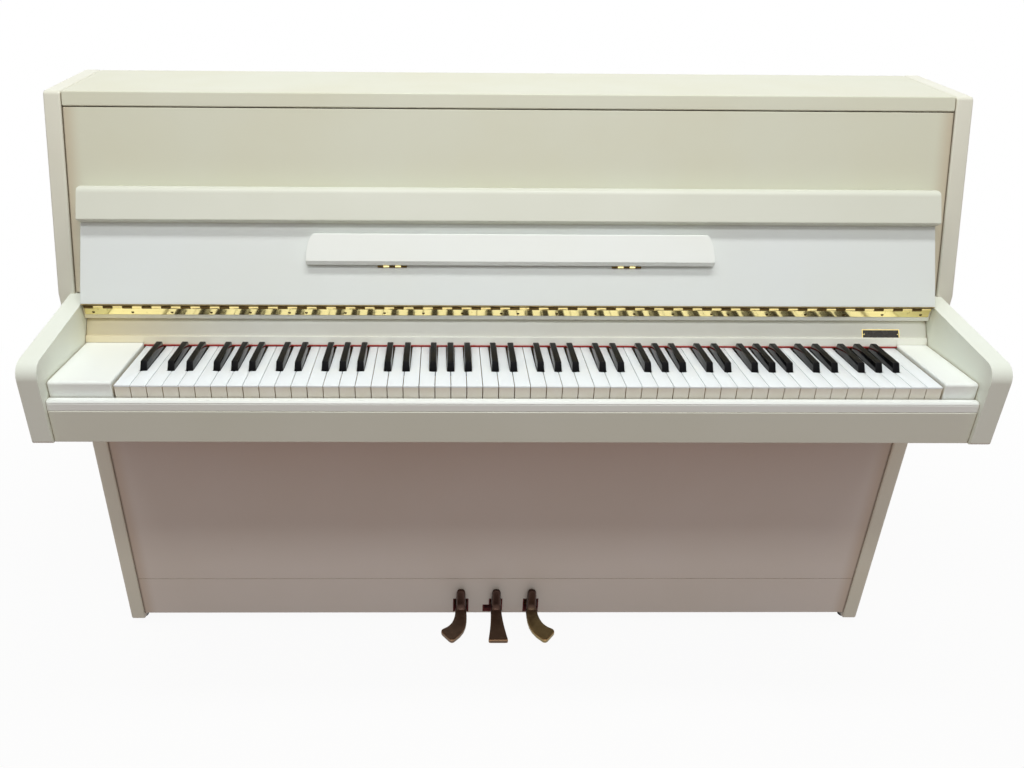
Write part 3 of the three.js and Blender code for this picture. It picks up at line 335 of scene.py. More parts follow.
def grained_wood(name, light, dark, along, ring, roughness, beams=None):
    """Planed and sealed timber: growth rings every few millimetres, streaked along the grain.
    Below the first and above the second of two heights, beams run along X instead."""
    material, tree, shader, at = begin(name, IOR=1.5)
    stretch = [GRAIN_DRAW if axis == along else 1.0 for axis in "XYZ"]
    grain = (add(tree, MAPPING, {"Vector": (at, "Object"), "Scale": stretch}), "Vector")
    if beams:
        low, high = beams
        across = add(tree, MAPPING, {"Vector": (at, "Object"), "Scale": (GRAIN_DRAW, 1.0, 1.0)})
        place = add(tree, "ShaderNodeSeparateXYZ", {"Vector": (at, "Object")})
        level = add(tree, "ShaderNodeMath", {0: (place, "Z"), 1: (low + high) / 2 * MM},
                    operation="SUBTRACT")
        away = add(tree, "ShaderNodeMath", {0: (level, "Value")}, operation="ABSOLUTE")
        beam = add(tree, "ShaderNodeMath", {0: (away, "Value"), 1: (high - low) / 2 * MM},
                   operation="GREATER_THAN")
        grain = (add(tree, MIX, {0: (beam, "Value"), VECTOR_A: grain,
                                 VECTOR_B: (across, "Vector")}, data_type="VECTOR"), VECTOR_OUT)
    warp = add(tree, NOISE, {"Vector": grain, "Scale": per(4 * ring), "Detail": 3.0})
    wander = (RING_WANDER * ring * MM,) * 3
    bent = add(tree, "ShaderNodeVectorMath", {0: (warp, "Color"), 1: wander, 2: grain},
               operation="MULTIPLY_ADD")
    rings = add(tree, WAVE, {"Vector": (bent, "Vector"), "Scale": per(ring) * RING_WAVE,
                             "Distortion": 1.5, "Detail": 2.0}, wave_type="BANDS",
                bands_direction="DIAGONAL")
    pores = add(tree, NOISE, {"Vector": grain, "Scale": per(0.7), "Detail": 4.0})
    blend = add(tree, "ShaderNodeMath", {0: (rings, "Fac"), 1: (pores, "Fac")},
                operation="MULTIPLY")
    tone = add(tree, MIX, {0: (blend, "Value"), MIX_A: colour(light),
                           MIX_B: colour(dark)}, data_type="RGBA")
    link(tree, tone, MIX_OUT, shader, "Base Color")
    gloss = add(tree, RANGE, {"Value": (pores, "Fac"), "To Min": roughness - 0.08,
                              "To Max": roughness + 0.1})
    link(tree, gloss, "Result", shader, "Roughness")
    relief = add(tree, BUMP, {"Height": (blend, "Value"), "Strength": 0.15,
                              "Distance": 0.3 * MM})
    link(tree, relief, "Normal", shader, "Normal")
    return material


def moulded_rubber():
    """Black moulded rubber: dark grey, dull, dusty on top."""
    material, tree, shader, at = begin("moulded_rubber", IOR=1.52)
    dust = add(tree, NOISE, {"Vector": (at, "Object"), "Scale": per(5), "Detail": 5.0})
    tone = add(tree, MIX, {0: (dust, "Fac"), MIX_A: colour("141414"),
                           MIX_B: colour("2E2D2B")}, data_type="RGBA")
    link(tree, tone, MIX_OUT, shader, "Base Color")
    gloss = add(tree, RANGE, {"Value": (dust, "Fac"), "To Min": 0.62, "To Max": 0.9})
    link(tree, gloss, "Result", shader, "Roughness")
    return material


def plate_paint():
    """Bronze powder paint on cast iron: a soft gold with the pebble of the sand mould."""
    material, tree, shader, at = begin("plate_paint", Metallic=0.75)
    mould = add(tree, NOISE, {"Vector": (at, "Object"), "Scale": per(2.4), "Detail": 3.0})
    tone = add(tree, MIX, {0: (mould, "Fac"), MIX_A: colour("A88347"),
                           MIX_B: colour("C7A362")}, data_type="RGBA")
    link(tree, tone, MIX_OUT, shader, "Base Color")
    gloss = add(tree, RANGE, {"Value": (mould, "Fac"), "To Min": 0.36, "To Max": 0.52})
    link(tree, gloss, "Result", shader, "Roughness")
    pebble = add(tree, BUMP, {"Height": (mould, "Fac"), "Strength": 0.4, "Distance": 0.4 * MM})
    link(tree, pebble, "Normal", shader, "Normal")
    return material


def black_enamel():
    """Stoved black enamel in the sunk field of a small plate."""
    material, tree, shader, at = begin("black_enamel", IOR=1.5)
    fade = add(tree, NOISE, {"Vector": (at, "Object"), "Scale": per(12), "Detail": 4.0})
    tone = add(tree, MIX, {0: (fade, "Fac"), MIX_A: colour("1B1712"),
                           MIX_B: colour("332B1F")}, data_type="RGBA")
    link(tree, tone, MIX_OUT, shader, "Base Color")
    gloss = add(tree, RANGE, {"Value": (fade, "Fac"), "To Min": 0.2, "To Max": 0.34})
    link(tree, gloss, "Result", shader, "Roughness")
    return material


# The fourth value of each lacquer is its share of yellow-brown grime and painted shade from ambient
# occlusion
LACQUER_OUTER = satin_lacquer("lacquer_yellowed", "E1E3CF", "DDDCC2", 0.6)
LACQUER_PANEL = satin_lacquer("lacquer_panel", "E1E3CF", "DDDCC2", 0.6, joint=PANEL_END)
LACQUER_COVERED = satin_lacquer("lacquer_covered", "E8EEEC", "E5EAE2", 0.5)
LACQUER_NOSE = satin_lacquer("lacquer_nose", "E2E5D7", "DBDECD", 0.5)
LACQUER_BRIGHT = satin_lacquer("lacquer_bright", "F7FCF8", "F4F8F0", 0.4)
LACQUER_ARM = satin_lacquer("lacquer_arm", "EEF4E9", "E9ECDB", 0.55)
LACQUER_RAIL = satin_lacquer("lacquer_rail", "F1F3EA", "ECEBDD", 0.7, (-690, -400))
LACQUER_LOWER = satin_lacquer("lacquer_lower", "E9E3DB", "E4DDD2", 0.9, joint=PANEL_END)
LACQUER_EDGE = satin_lacquer("lacquer_handled", "EEEFE0", "E8E6D2", 0.6)
ACRYLIC = key_acrylic()
ACRYLIC_FRONT = key_front_acrylic()
EBONISED = ebonised_key()
BRASS = polished_brass()
BRASS_SHADED = shaded_brass()
RED_FELT = wool_felt("red_felt", "B02A20", "7E120B")
SLOT_FELT = wool_felt("slot_felt", "7A1815", "4A0C0A")
SPRUCE_X = grained_wood("spruce_across", "DDBB84", "C49A5E", "X", 3.0, 0.5)
SPRUCE_Y = grained_wood("key_spruce", "E0C493", "CBA56B", "Y", 2.2, 0.55)
TIMBER_X = grained_wood("beech_across", "C79B69", "A67444", "X", 4.5, 0.55)
TIMBER_Z = grained_wood("beech_upright", "C79B69", "A67444", "Z", 4.5, 0.55)
TIMBER_FRAME = grained_wood("beech_frame", "C79B69", "A67444", "Z", 4.5, 0.55,
                            (FRAME_FOOT + FRAME_BEAM_H, FRAME_HEAD - FRAME_BEAM_H))
RUBBER = moulded_rubber()
PLATE_GOLD = plate_paint()
ENAMEL = black_enamel()


# ---- Mesh helpers ----
ARC_STEP = math.radians(9)       # facets of a rounded corner
SHARP_ANGLE = math.radians(35)   # an edge that turns more stays crisp
WELD = 0.01                      # corners this near are one


def outline(corners):
    """A closed outline. A corner is (a, b), or (a, b, radius) where it is rounded."""
    points = []
    for i, (a, b, *rest) in enumerate(corners):
        corner = Vector((a, b))
        if not rest:
            points.append(corner)
            continue
        radius = rest[0]
        before = Vector(corners[i - 1][:2]) - corner
        after = Vector(corners[(i + 1) % len(corners)][:2]) - corner
        before.normalize()
        after.normalize()
        half = before.angle(after) / 2
        centre = corner + (before + after).normalized() * (radius / math.sin(half))
        start = corner + before * (radius / math.tan(half)) - centre
        end = corner + after * (radius / math.tan(half)) - centre
        turn = math.atan2(start.x * end.y - start.y * end.x, start.dot(end))
        steps = max(2, math.ceil(abs(turn) / ARC_STEP))
        for k in range(steps + 1):
            points.append(centre + Matrix.Rotation(turn * k / steps, 2) @ start)
    return points


ALONG = {
    "X": lambda a, b, c: Vector((c, a, b)),
    "Y": lambda a, b, c: Vector((a, c, b)),
    "Z": lambda a, b, c: Vector((a, b, c)),
}


def prism(bm, points, axis, low, high, slot=0):
    """Adds a solid: an outline in the two other axes, run along an axis. Returns its faces."""
    place = ALONG[axis]
    rings = [[bm.verts.new(place(p[0], p[1], c)) for p in points] for c in (low, high)]
    faces = [bm.faces.new(rings[0]), bm.faces.new(rings[1][::-1])]
    for i in range(len(points)):
        j = (i + 1) % len(points)
        faces.append(bm.faces.new((rings[0][i], rings[1][i], rings[1][j], rings[0][j])))
    for face in faces:
        face.material_index = slot
    return faces


def brick(bm, low, high, slot=0):
    """Adds a block between two corners and returns its faces."""
    points = [(low[0], low[1]), (high[0], low[1]), (high[0], high[1]), (low[0], high[1])]
    return prism(bm, points, "Z", low[2], high[2], slot)


def rod(bm, start, end, radius, sides, slot=0):
    """Adds a round bar between two points and returns its faces."""
    start, end = Vector(start), Vector(end)
    turn = (end - start).to_track_quat("Z", "Y").to_matrix()
    rings = []
    for centre in (start, end):
        ring = []
        for k in range(sides):
            angle = 2 * math.pi * k / sides
            ring.append(bm.verts.new(centre + turn @ Vector((
                radius * math.cos(angle), radius * math.sin(angle), 0))))
        rings.append(ring)
    faces = [bm.faces.new(rings[0][::-1]), bm.faces.new(rings[1])]
    for k in range(sides):
        j = (k + 1) % sides
        faces.append(bm.faces.new((rings[0][k], rings[0][j], rings[1][j], rings[1][k])))
    for face in faces:
        face.material_index = slot
    return faces


def soften(bm, edges, width, segments=2):
    """Rounds edges."""
    bmesh.ops.bevel(bm, geom=edges, offset=width, offset_type="OFFSET",
                    segments=segments, profile=0.5, affect="EDGES", clamp_overlap=True)


def edges_of(faces, chosen=lambda edge: True):
    """The edges of some faces that pass a test, each once and always in the same order."""
    return list(dict.fromkeys(edge for face in faces for edge in face.edges if chosen(edge)))


def climbs(edge):
    """Whether an edge joins two heights."""
    return abs(edge.verts[0].co.z - edge.verts[1].co.z) > 1


def make_piece(name, bm, materials, body, replaces=()):
    """Turns a mesh in millimetres into a named piece that rides on a body."""
    bmesh.ops.recalc_face_normals(bm, faces=bm.faces)
    mesh = bpy.data.meshes.new(name)
    bm.to_mesh(mesh)
    bm.free()
    mesh.transform(Matrix.Scale(MM, 4))
    for material in materials:
        mesh.materials.append(material)
    mesh.shade_smooth()
    mesh.set_sharp_from_angle(angle=SHARP_ANGLE)
    made = bpy.data.objects.new(name, mesh)
    bpy.context.scene.collection.objects.link(made)
    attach(made, body)
    if replaces:
        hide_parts(*replaces)
    return made


# ---- Carried-over nodes: eased edges and finishes ----
def smooth_faces():
    """A modifier's node group that merges the corners of the facets and shades them smooth."""
    group = bpy.data.node_groups.new("smooth_faces", "GeometryNodeTree")
    for way in ("INPUT", "OUTPUT"):
        group.interface.new_socket("Geometry", in_out=way, socket_type="NodeSocketGeometry")
    start = add(group, "NodeGroupInput")
    merged = add(group, "GeometryNodeMergeByDistance", {"Geometry": (start, "Geometry"),
                                                        "Distance": WELD * MM})
    shaded = add(group, "GeometryNodeSetShadeSmooth", {"Geometry": (merged, "Geometry")})
    add(group, "NodeGroupOutput", {"Geometry": (shaded, "Geometry")})
    return group


SMOOTH_FACES = smooth_faces()
FLAT_ANGLE = math.radians(0.5)   # facets that turn less are one face
EASE_ANGLE = math.radians(32)    # edges that turn more are rounded
FACE_WEIGHT = 90                 # how far wide faces pull the shading of the edges flat


def ease(node, material, width, segments=3):
    """Gives a CAD node its finish and rounds its edges."""
    piece = NODES[node]
    for holder in piece.material_slots:
        holder.material = material
    merge = piece.modifiers.new("merge", "NODES")
    merge.node_group = SMOOTH_FACES
    flat = piece.modifiers.new("flat", "DECIMATE")
    flat.decimate_type = "DISSOLVE"
    flat.angle_limit = FLAT_ANGLE
    if width:
        bevel = piece.modifiers.new("ease", "BEVEL")
        bevel.width = width * MM
        bevel.segments = segments
        bevel.limit_method = "ANGLE"
        bevel.angle_limit = EASE_ANGLE
        bevel.use_clamp_overlap = True
    weigh = piece.modifiers.new("weigh", "WEIGHTED_NORMAL")
    weigh.keep_sharp = True
    weigh.weight = FACE_WEIGHT


for finish, nodes in (
    (LACQUER_OUTER, {"top_lid": 2.6}),
    (LACQUER_PANEL, {"upper_panel": 0.9}),
    (LACQUER_LOWER, {"lower_panel": 0.9, "bottom_rail": 0.7}),
    (LACQUER_RAIL, {"name_rail": 0.8}),
    (LACQUER_EDGE, {"side_left": 3.4, "side_right": 3.4}),
    (LACQUER_ARM, {"arm_left": 3.0, "arm_right": 3.0}),
    (LACQUER_BRIGHT, {"key_slip": 0.6, "key_block_left": 2.4, "key_block_right": 2.4,
                      "music_desk": 1.8}),
    (LACQUER_NOSE, {"fallboard_flap": 2.4, "front_rail": 1.2}),
    (LACQUER_COVERED, {"fallboard": 1.6}),
):
    for node, width in nodes.items():
        ease(node, finish, width)
for node in ("key_bed", "bottom_board", "pedal_pivot_rail", "pin_block"):
    ease(node, TIMBER_X, 0.8, 1)
for side in ("left", "middle", "right"):
    ease(f"trap_lever_{side}", TIMBER_X, 1.2, 2)
    ease(f"trap_rod_{side}", TIMBER_Z, 0.6, 1)
for node in ("foot_front_left", "foot_front_right", "foot_back_left", "foot_back_right"):
    ease(node, RUBBER, 0.5, 2)
ease("iron_plate", PLATE_GOLD, 2.0, 2)
ease("soundboard", SPRUCE_X, 0.8, 1)
ease("back_frame", TIMBER_FRAME, 1.5, 2)
ease("action", TIMBER_Z, 0, 1)


# ---- Keyboard ----
WHITE_COUNT = 52
LETTERS = "cdefgab"
FIRST_LETTER = 5                 # the lowest key is an a
NO_SHARP = (2, 6)                # none follows an e or a b
OCTAVE = "4"
MOVING = range(23, 30)           # naturals of the octave from middle c, each on its own body
KEY_GAP = 1.0
LAYER_GAP = 0.02                 # between glued layers, too thin to see
COVER_T = 2.4                    # acrylic on the top of a stick
COVER_END = 160.0                # covering runs this far back from the key fronts
COVER_ROUND = 0.55
LIP = 0.7                        # covering stands out over its front
FRONT_T = 2.2
FRONT_INSET = 0.15               # front and stick stand in from the covering's sides
STICK_INSET = 0.3
HEAD_LEN = 52.5
BLACK_RUN = 2.5                  # sharp behind the notch
BLACK_LEN = 88.0
BLACK_W = 11.3
BLACK_TOP_W = 9.6
BLACK_DRAFT = 0.1                # its sides and front draw in up to the white tops
BLACK_FRONT_DRAFT = 0.3
BLACK_FRONT_SLOPE = 7.0          # and its ends slope in above them
BLACK_BACK_SLOPE = 2.0
BLACK_SKIRT = 8.0                # resin reaches this far below the white tops
BLACK_ROUND = 1.2
WHITE_RAIL = (180.0, 220.0)      # rail that joins the fixed naturals, behind the key fronts
WHITE_RAIL_DROP = 4.0            # its top, under their sticks
BLACK_RAIL = 26.0                # rail that joins the fixed sharps, in front of the key backs
BLACK_RAIL_DROP = 1.0

keys_low, keys_high = box_mm("naturals")
PITCH = (keys_high.x - keys_low.x) / WHITE_COUNT
KEY_FRONT = keys_low.y
KEY_BACK = keys_high.y
WHITE_TOP = keys_high.z
STICK_UNDER = box_mm("key_c4")[0].z
BLACK_TOP = box_mm("sharps")[1].z
BLACK_FRONT = KEY_FRONT + HEAD_LEN + BLACK_RUN
BLACK_BACK = box_mm("key_csharp4")[0].y + BLACK_LEN


def letter_of(i):
    """A natural's place in the octave, with c as 0."""
    return (i + FIRST_LETTER) % len(LETTERS)


def white_x(i):
    """Left end of a natural's share of the keyboard."""
    return keys_low.x + i * PITCH


def has_sharp(i):
    """Whether a sharp stands to the right of a natural."""
    return 0 <= i < WHITE_COUNT - 1 and letter_of(i) not in NO_SHARP


def sharp_x(i):
    """Middle of the sharp to the right of a natural. From c to e, three naturals' width is shared
    evenly by five tails and sharps, and from f to b, four naturals' width by seven."""
    letter = letter_of(i)
    start, naturals, shares = (0, 3, 5) if letter < 3 else (3, 4, 7)
    tail = naturals * PITCH / shares
    return white_x(i - (letter - start)) + tail * (2 * (letter - start) + 1.5)


def natural_plan(i, inset, front, back):
    """Plan of a natural from a front line to a back line, drawn in all round by an inset."""
    left = white_x(i) + KEY_GAP / 2 + inset
    right = white_x(i + 1) - KEY_GAP / 2 - inset
    reach = BLACK_W / 2 + KEY_GAP + inset
    tail_left = sharp_x(i - 1) + reach if has_sharp(i - 1) else left
    tail_right = sharp_x(i) - reach if has_sharp(i) else right
    notch = KEY_FRONT + HEAD_LEN - inset
    points = [(left, front), (right, front)]
    if tail_right < right:
        points += [(right, notch), (tail_right, notch)]
    points += [(tail_right, back), (tail_left, back)]
    if tail_left > left:
        points += [(tail_left, notch), (left, notch)]
    return points


def add_natural(bm, i):
    """A natural: acrylic top with a rounded rim and a lip, acrylic front, spruce stick."""
    under = WHITE_TOP - COVER_T
    plan = natural_plan(i, 0, KEY_FRONT, KEY_FRONT + COVER_END)
    cover = prism(bm, plan, "Z", under, WHITE_TOP, 0)
    rim = edges_of([cover[1]])
    posts = edges_of(cover, lambda edge: climbs(edge) and edge.verts[0].co.y < KEY_FRONT + 1)
    soften(bm, rim + posts, COVER_ROUND, 2)
    front = natural_plan(i, FRONT_INSET, KEY_FRONT, KEY_FRONT + 1)
    brick(bm, (front[0][0], KEY_FRONT + LIP, STICK_UNDER + 1),
          (front[1][0], KEY_FRONT + LIP + FRONT_T, under - LAYER_GAP), 1)
    stick = natural_plan(i, STICK_INSET, KEY_FRONT + LIP + FRONT_T + LAYER_GAP, KEY_BACK)
    prism(bm, stick, "Z", STICK_UNDER, under - LAYER_GAP, 2)


def add_sharp(bm, i):
    """A sharp: a tapered resin cap with rounded crown over a spruce stick."""
    x = sharp_x(i)
    half, crown = BLACK_W / 2, BLACK_TOP_W / 2
    skirt = WHITE_TOP - BLACK_SKIRT
    levels = [
        (skirt, half, BLACK_FRONT, BLACK_BACK),
        (WHITE_TOP, half - BLACK_DRAFT, BLACK_FRONT + BLACK_FRONT_DRAFT, BLACK_BACK),
        (BLACK_TOP, crown, BLACK_FRONT + BLACK_FRONT_SLOPE, BLACK_BACK - BLACK_BACK_SLOPE),
    ]
    rings = []
    for z, w, y0, y1 in levels:
        rings.append([bm.verts.new((x + sx * w, y, z))
                      for sx, y in ((-1, y0), (1, y0), (1, y1), (-1, y1))])
    top = bm.faces.new(rings[-1])
    bm.faces.new(rings[0][::-1])
    sides = []
    for low, high in zip(rings, rings[1:]):
        for k in range(4):
            j = (k + 1) % 4
            sides.append(bm.faces.new((low[k], low[j], high[j], high[k])))
    rims = edges_of([top])
    soften(bm, rims + edges_of(sides, climbs), BLACK_ROUND, 4)
    brick(bm, (x - half + 0.2, BLACK_FRONT + 0.5, STICK_UNDER),
          (x + half - 0.2, KEY_BACK, skirt - LAYER_GAP), 1)


def make_keyboard():
    """88 keys: an octave of them rides on bodies of their own, and the rest are two combs."""
    fixed_whites, fixed_blacks = bmesh.new(), bmesh.new()
    white_finish = [ACRYLIC, ACRYLIC_FRONT, SPRUCE_Y]
    black_finish = [EBONISED, SPRUCE_Y]
    for i in range(WHITE_COUNT):
        letter = LETTERS[letter_of(i)]
        moves = i in MOVING
        whites = bmesh.new() if moves else fixed_whites
        add_natural(whites, i)
        if moves:
            name = f"key_{letter}{OCTAVE}"
            make_piece(f"natural_{letter}{OCTAVE}", whites, white_finish, f"{name}_body",
                       [name])
        if has_sharp(i):
            blacks = bmesh.new() if moves else fixed_blacks
            add_sharp(blacks, i)
            if moves:
                name = f"key_{letter}sharp{OCTAVE}"
                make_piece(f"sharp_{letter}sharp{OCTAVE}", blacks, black_finish, f"{name}_body",
                           [name])
    brick(fixed_whites, (keys_low.x, KEY_FRONT + WHITE_RAIL[0], keys_low.z),
          (keys_high.x, KEY_FRONT + WHITE_RAIL[1], STICK_UNDER - WHITE_RAIL_DROP), 2)
    brick(fixed_blacks, (keys_low.x, KEY_BACK - BLACK_RAIL, keys_low.z),
          (keys_high.x, KEY_BACK, STICK_UNDER - BLACK_RAIL_DROP), 1)
    make_piece("naturals_keys", fixed_whites, white_finish, "case", ["naturals"])
    make_piece("sharps_keys", fixed_blacks, black_finish, "case", ["sharps"])


make_keyboard()


# ---- Name rail: felt strip and foot moulding ----
NAME_LEAN = math.radians(34)     # the name rail's face, back from the vertical
NAME_FOOT = 5.3                  # its foot above the white tops
NAME_SETBACK = 154.0             # its foot behind the key fronts
FELT_FRONT = -82.6               # the felt's faces, along Y
FELT_BACK = -80.4
FELT_LIFT = 0.3                  # its lower edge above the white tops
FELT_SHORT = 2.6                 # its upper edge below the rail's foot
FELT_STEP = 3.0
FELT_RAG = 0.3                   # how far its edges wander
BLOCK_PLAY = 2.5                 # felt and moulding reach this far beyond the keys
MOULD_FRONT = -80.2              # the moulding's foot, along Y
MOULD_T = 2.4                    # its thickness at the foot
MOULD_RISE = 10.0                # its top above the rail's foot
MOULD_LEAN = 0.35                # its face leans back by this share of its rise
MOULD_ROUND = 0.6                # its upper edge is cut back by this
MOULD_DROP = 1.8                 # over the keys it comes down to this above the white tops
MOULD_BLOCK = 0.2                # and over the key blocks to this above the rail's foot


def make_name_felt():
    """A strip of red felt between the keys and the name rail, its lower edge a little ragged."""
    foot, head = WHITE_TOP + FELT_LIFT, WHITE_TOP + NAME_FOOT - FELT_SHORT
    x0, x1 = keys_low.x - BLOCK_PLAY, keys_high.x + BLOCK_PLAY
    bm = bmesh.new()
    steps = int((x1 - x0) / FELT_STEP)
    profile = outline([(FELT_FRONT, foot, 0.7), (FELT_BACK, foot, 0.7), (FELT_BACK, head),
                       (FELT_FRONT, head, 0.6)])
    rings = []
    for k in range(steps + 1):
        x = x0 + (x1 - x0) * k / steps
        ring = []
        for y, z in profile:
            ragged = noise.noise(Vector((x * 0.35, y, z * 0.5))) * FELT_RAG
            ring.append(bm.verts.new((x, y - abs(ragged), z + ragged * 0.6)))
        rings.append(ring)
    bm.faces.new(rings[0][::-1])
    bm.faces.new(rings[-1])
    for a, b in zip(rings, rings[1:]):
        for k in range(len(profile)):
            j = (k + 1) % len(profile)
            bm.faces.new((a[k], a[j], b[j], b[k]))
    make_piece("key_felt", bm, [RED_FELT], "case", ["name_felt"])


def make_rail_foot():
    """The moulding planted along the foot of the name rail: it stands steeper than the face,
    and reaches down to the felt between the key blocks."""
    # The back edge of its top is buried in the rail's face.
    back = KEY_FRONT + NAME_SETBACK + math.tan(NAME_LEAN) * (MOULD_RISE - 0.4) + 0.5
    top = WHITE_TOP + NAME_FOOT + MOULD_RISE
    brow = MOULD_FRONT + MOULD_LEAN * MOULD_RISE
    rail_low, rail_high = box_mm("name_rail")
    x0, x1 = keys_low.x - BLOCK_PLAY, keys_high.x + BLOCK_PLAY
    on_block = NAME_FOOT + MOULD_BLOCK
    bm = bmesh.new()
    for start, end, foot in ((rail_low.x + 0.5, x0, on_block), (x0, x1, MOULD_DROP),
                             (x1, rail_high.x - 0.5, on_block)):
        z = WHITE_TOP + foot
        profile = [(MOULD_FRONT, z), (brow, top - MOULD_ROUND), (brow + 0.9, top),
                   (back, top), (MOULD_FRONT + MOULD_T, z)]
        prism(bm, profile, "X", start, end)
    bmesh.ops.remove_doubles(bm, verts=bm.verts, dist=0.001)
    make_piece("name_rail_foot", bm, [LACQUER_RAIL], "case")


make_rail_foot()
make_name_felt()


# ---- Hinges ----
LEAF_T = 1.0
LEAF_TILT = 0.6                  # a leaf's face stands out this much more at its knuckles
SEAT = 0.3
BOARD_OPEN = math.radians(61.5)  # fallboard above the horizontal at rest
HINGE_R = 2.4
LEAF_W = 12.4
KNUCKLE_PITCH = 31.0             # two knuckles, one of each half
KNUCKLE_GAP = 0.4
CURL_STEPS = 12
CURL_TURN = math.pi * 1.35       # how far the leaf's edge is rolled round the pin
SCREW_R = 2.7
SCREW_SIDES = 24
SCREW_CROWN = 0.3                # the head's top above the leaf
CROSS_DEPTH = 0.7
CROSS_ARM = 0.62                 # shares of the head's radius
CROSS_WAIST = 0.16


def add_screw(bm, at, facing, radius, slot):
    """A countersunk head with a crossed recess, standing a hair proud of its leaf."""
    turn = Vector(facing).to_track_quat("Z", "Y").to_matrix()
    at = Vector(at)

    def put(x, y, z):
        return bm.verts.new(at + turn @ Vector((x, y, z)))

    rings = []
    for r, z in ((radius, -0.05), (radius * 0.98, 0.16), (radius * 0.8, SCREW_CROWN)):
        angles = [2 * math.pi * k / SCREW_SIDES for k in range(SCREW_SIDES)]
        rings.append([put(r * math.cos(angle), r * math.sin(angle), z) for angle in angles])
    for a, b in zip(rings, rings[1:]):
        for k in range(SCREW_SIDES):
            j = (k + 1) % SCREW_SIDES
            bm.faces.new((a[k], a[j], b[j], b[k])).material_index = slot
    bm.faces.new(rings[0][::-1]).material_index = slot
    # The crossed recess is a four-armed star sunk into the crown.
    arm, waist = radius * CROSS_ARM, radius * CROSS_WAIST
    star = []
    for k in range(4):
        a = math.radians(90 * k)
        along = (math.cos(a), math.sin(a))
        across = (-along[1], along[0])
        for side in (-1, 1):
            star.append((along[0] * arm + across[0] * waist * side,
                         along[1] * arm + across[1] * waist * side))
        star.append(((along[0] + across[0]) * waist * 1.2, (along[1] + across[1]) * waist * 1.2))
    rim = [put(x, y, SCREW_CROWN) for x, y in star]
    floor = [put(x * 0.6, y * 0.6, SCREW_CROWN - CROSS_DEPTH) for x, y in star]
    count = len(star)
    for k in range(count):
        j = (k + 1) % count
        bm.faces.new((rim[k], floor[k], floor[j], rim[j])).material_index = slot
    bm.faces.new(floor).material_index = slot
    crown = rings[-1]
    bridge = bmesh.ops.bridge_loops(bm, edges=[
        bm.edges.get((loop[k], loop[(k + 1) % len(loop)]))
        for loop in (crown, rim) for k in range(len(loop))])
    for face in bridge["faces"]:
        face.material_index = slot


def make_hinge_half(name, node, body, pin, tilt, span, width, side, moving, screws):
    """One half of a continuous hinge: a leaf that hangs from the pin on one side of it, and
    every second knuckle. The half is turned by tilt about the pin. Screws are places along the
    leaf. The moving half's leaf, the fixed half's knuckles and the screws are darkened with
    shaded brass, as painted shade."""
    bm = bmesh.new()
    r = HINGE_R
    x0, x1 = span
    leaf_near, leaf_far = side * (r - LEAF_T), side * r
    low_y, high_y = min(leaf_near, leaf_far), max(leaf_near, leaf_far)
    leaf = brick(bm, (x0, low_y, -width), (x1, high_y, -r - SEAT), int(moving))
    for vert in {vert for face in leaf for vert in face.verts}:
        if abs(vert.co.y - leaf_near) < 0.01 and vert.co.z > -width + 1:
            vert.co.y -= side * LEAF_TILT
    soften(bm, edges_of(leaf), 0.15, 1)
    half = KNUCKLE_PITCH / 2
    count = int((x1 - x0) / half + 1e-6)
    start = (x0 + x1 - count * half) / 2
    curl = [(leaf_near, -r - SEAT - 0.2), (leaf_far, -r - SEAT - 0.2)]
    for k in range(CURL_STEPS + 1):
        angle = -CURL_TURN * k / CURL_STEPS
        curl.append((side * r * math.cos(angle), -r * math.sin(angle)))
    for k in range(1 if moving else 0, count, 2):
        a = start + k * half + KNUCKLE_GAP / 2
        barrel = prism(bm, curl, "X", a, a + half - KNUCKLE_GAP, int(not moving))
        soften(bm, edges_of(barrel[:2]), 0.18, 1)
    for x in screws:
        add_screw(bm, (x, leaf_near, -(width + r) / 2 - 0.6), (0, -side, 0), SCREW_R, 1)
    bmesh.ops.transform(bm, verts=bm.verts, matrix=Matrix.Translation(pin)
                        @ Matrix.Rotation(tilt, 4, "X"))
    return make_piece(name, bm, [BRASS, BRASS_SHADED], body, [node])


HINGE_LENGTHS = 4                # the hinge is laid in this many lengths, end to end
SCREWS_EACH = 6
SCREW_END = 13.5                 # from a length's end to its first screw
fall_low, fall_high = box_mm("fall_hinge_fixed")
fall_span = (fall_low.x, fall_high.x)
fall_pin = joint_mm("fallboard_hinge")
fall_pin.x = 0
fall_length = (fall_span[1] - fall_span[0]) / HINGE_LENGTHS
screw_pitch = (fall_length - 2 * SCREW_END) / (SCREWS_EACH - 1)
fall_screws = [fall_span[0] + k * fall_length + SCREW_END + n * screw_pitch
               for k in range(HINGE_LENGTHS) for n in range(SCREWS_EACH)]
make_hinge_half("fall_hinge_rail_leaf", "fall_hinge_fixed", "case", fall_pin, 0, fall_span,
                LEAF_W + SEAT, 1, False, fall_screws)
make_hinge_half("fall_hinge_board_leaf", "fall_hinge_moving", "fallboard_body", fall_pin,
                BOARD_OPEN + math.pi, fall_span, LEAF_W, -1, True, fall_screws)

# The desk hinges' fixed halves and the lid hinge take the shaded brass: painted shade
for side in ("left", "right"):
    ease(f"desk_hinge_{side}_fixed", BRASS_SHADED, 0.2, 1)
    ease(f"desk_hinge_{side}_moving", BRASS, 0.2, 1)
for half in ("fixed", "moving"):
    ease(f"lid_hinge_{half}", BRASS_SHADED, 0.2, 1)


# ---- Small plate on the name rail ----
PLATE_HALF = 31.0
PLATE_H = 17.0
PLATE_T = 0.5
PLATE_X = 610.0
PLATE_RISE = 17.0                # its middle, up the rail's face from the foot
PLATE_BORDER = 1.6
PLATE_PIN = 3.4                  # its pins, in from its ends
PLATE_PIN_R = 0.9
PLATE_PIN_HEAD = 0.95            # their heads' faces, out from the rail


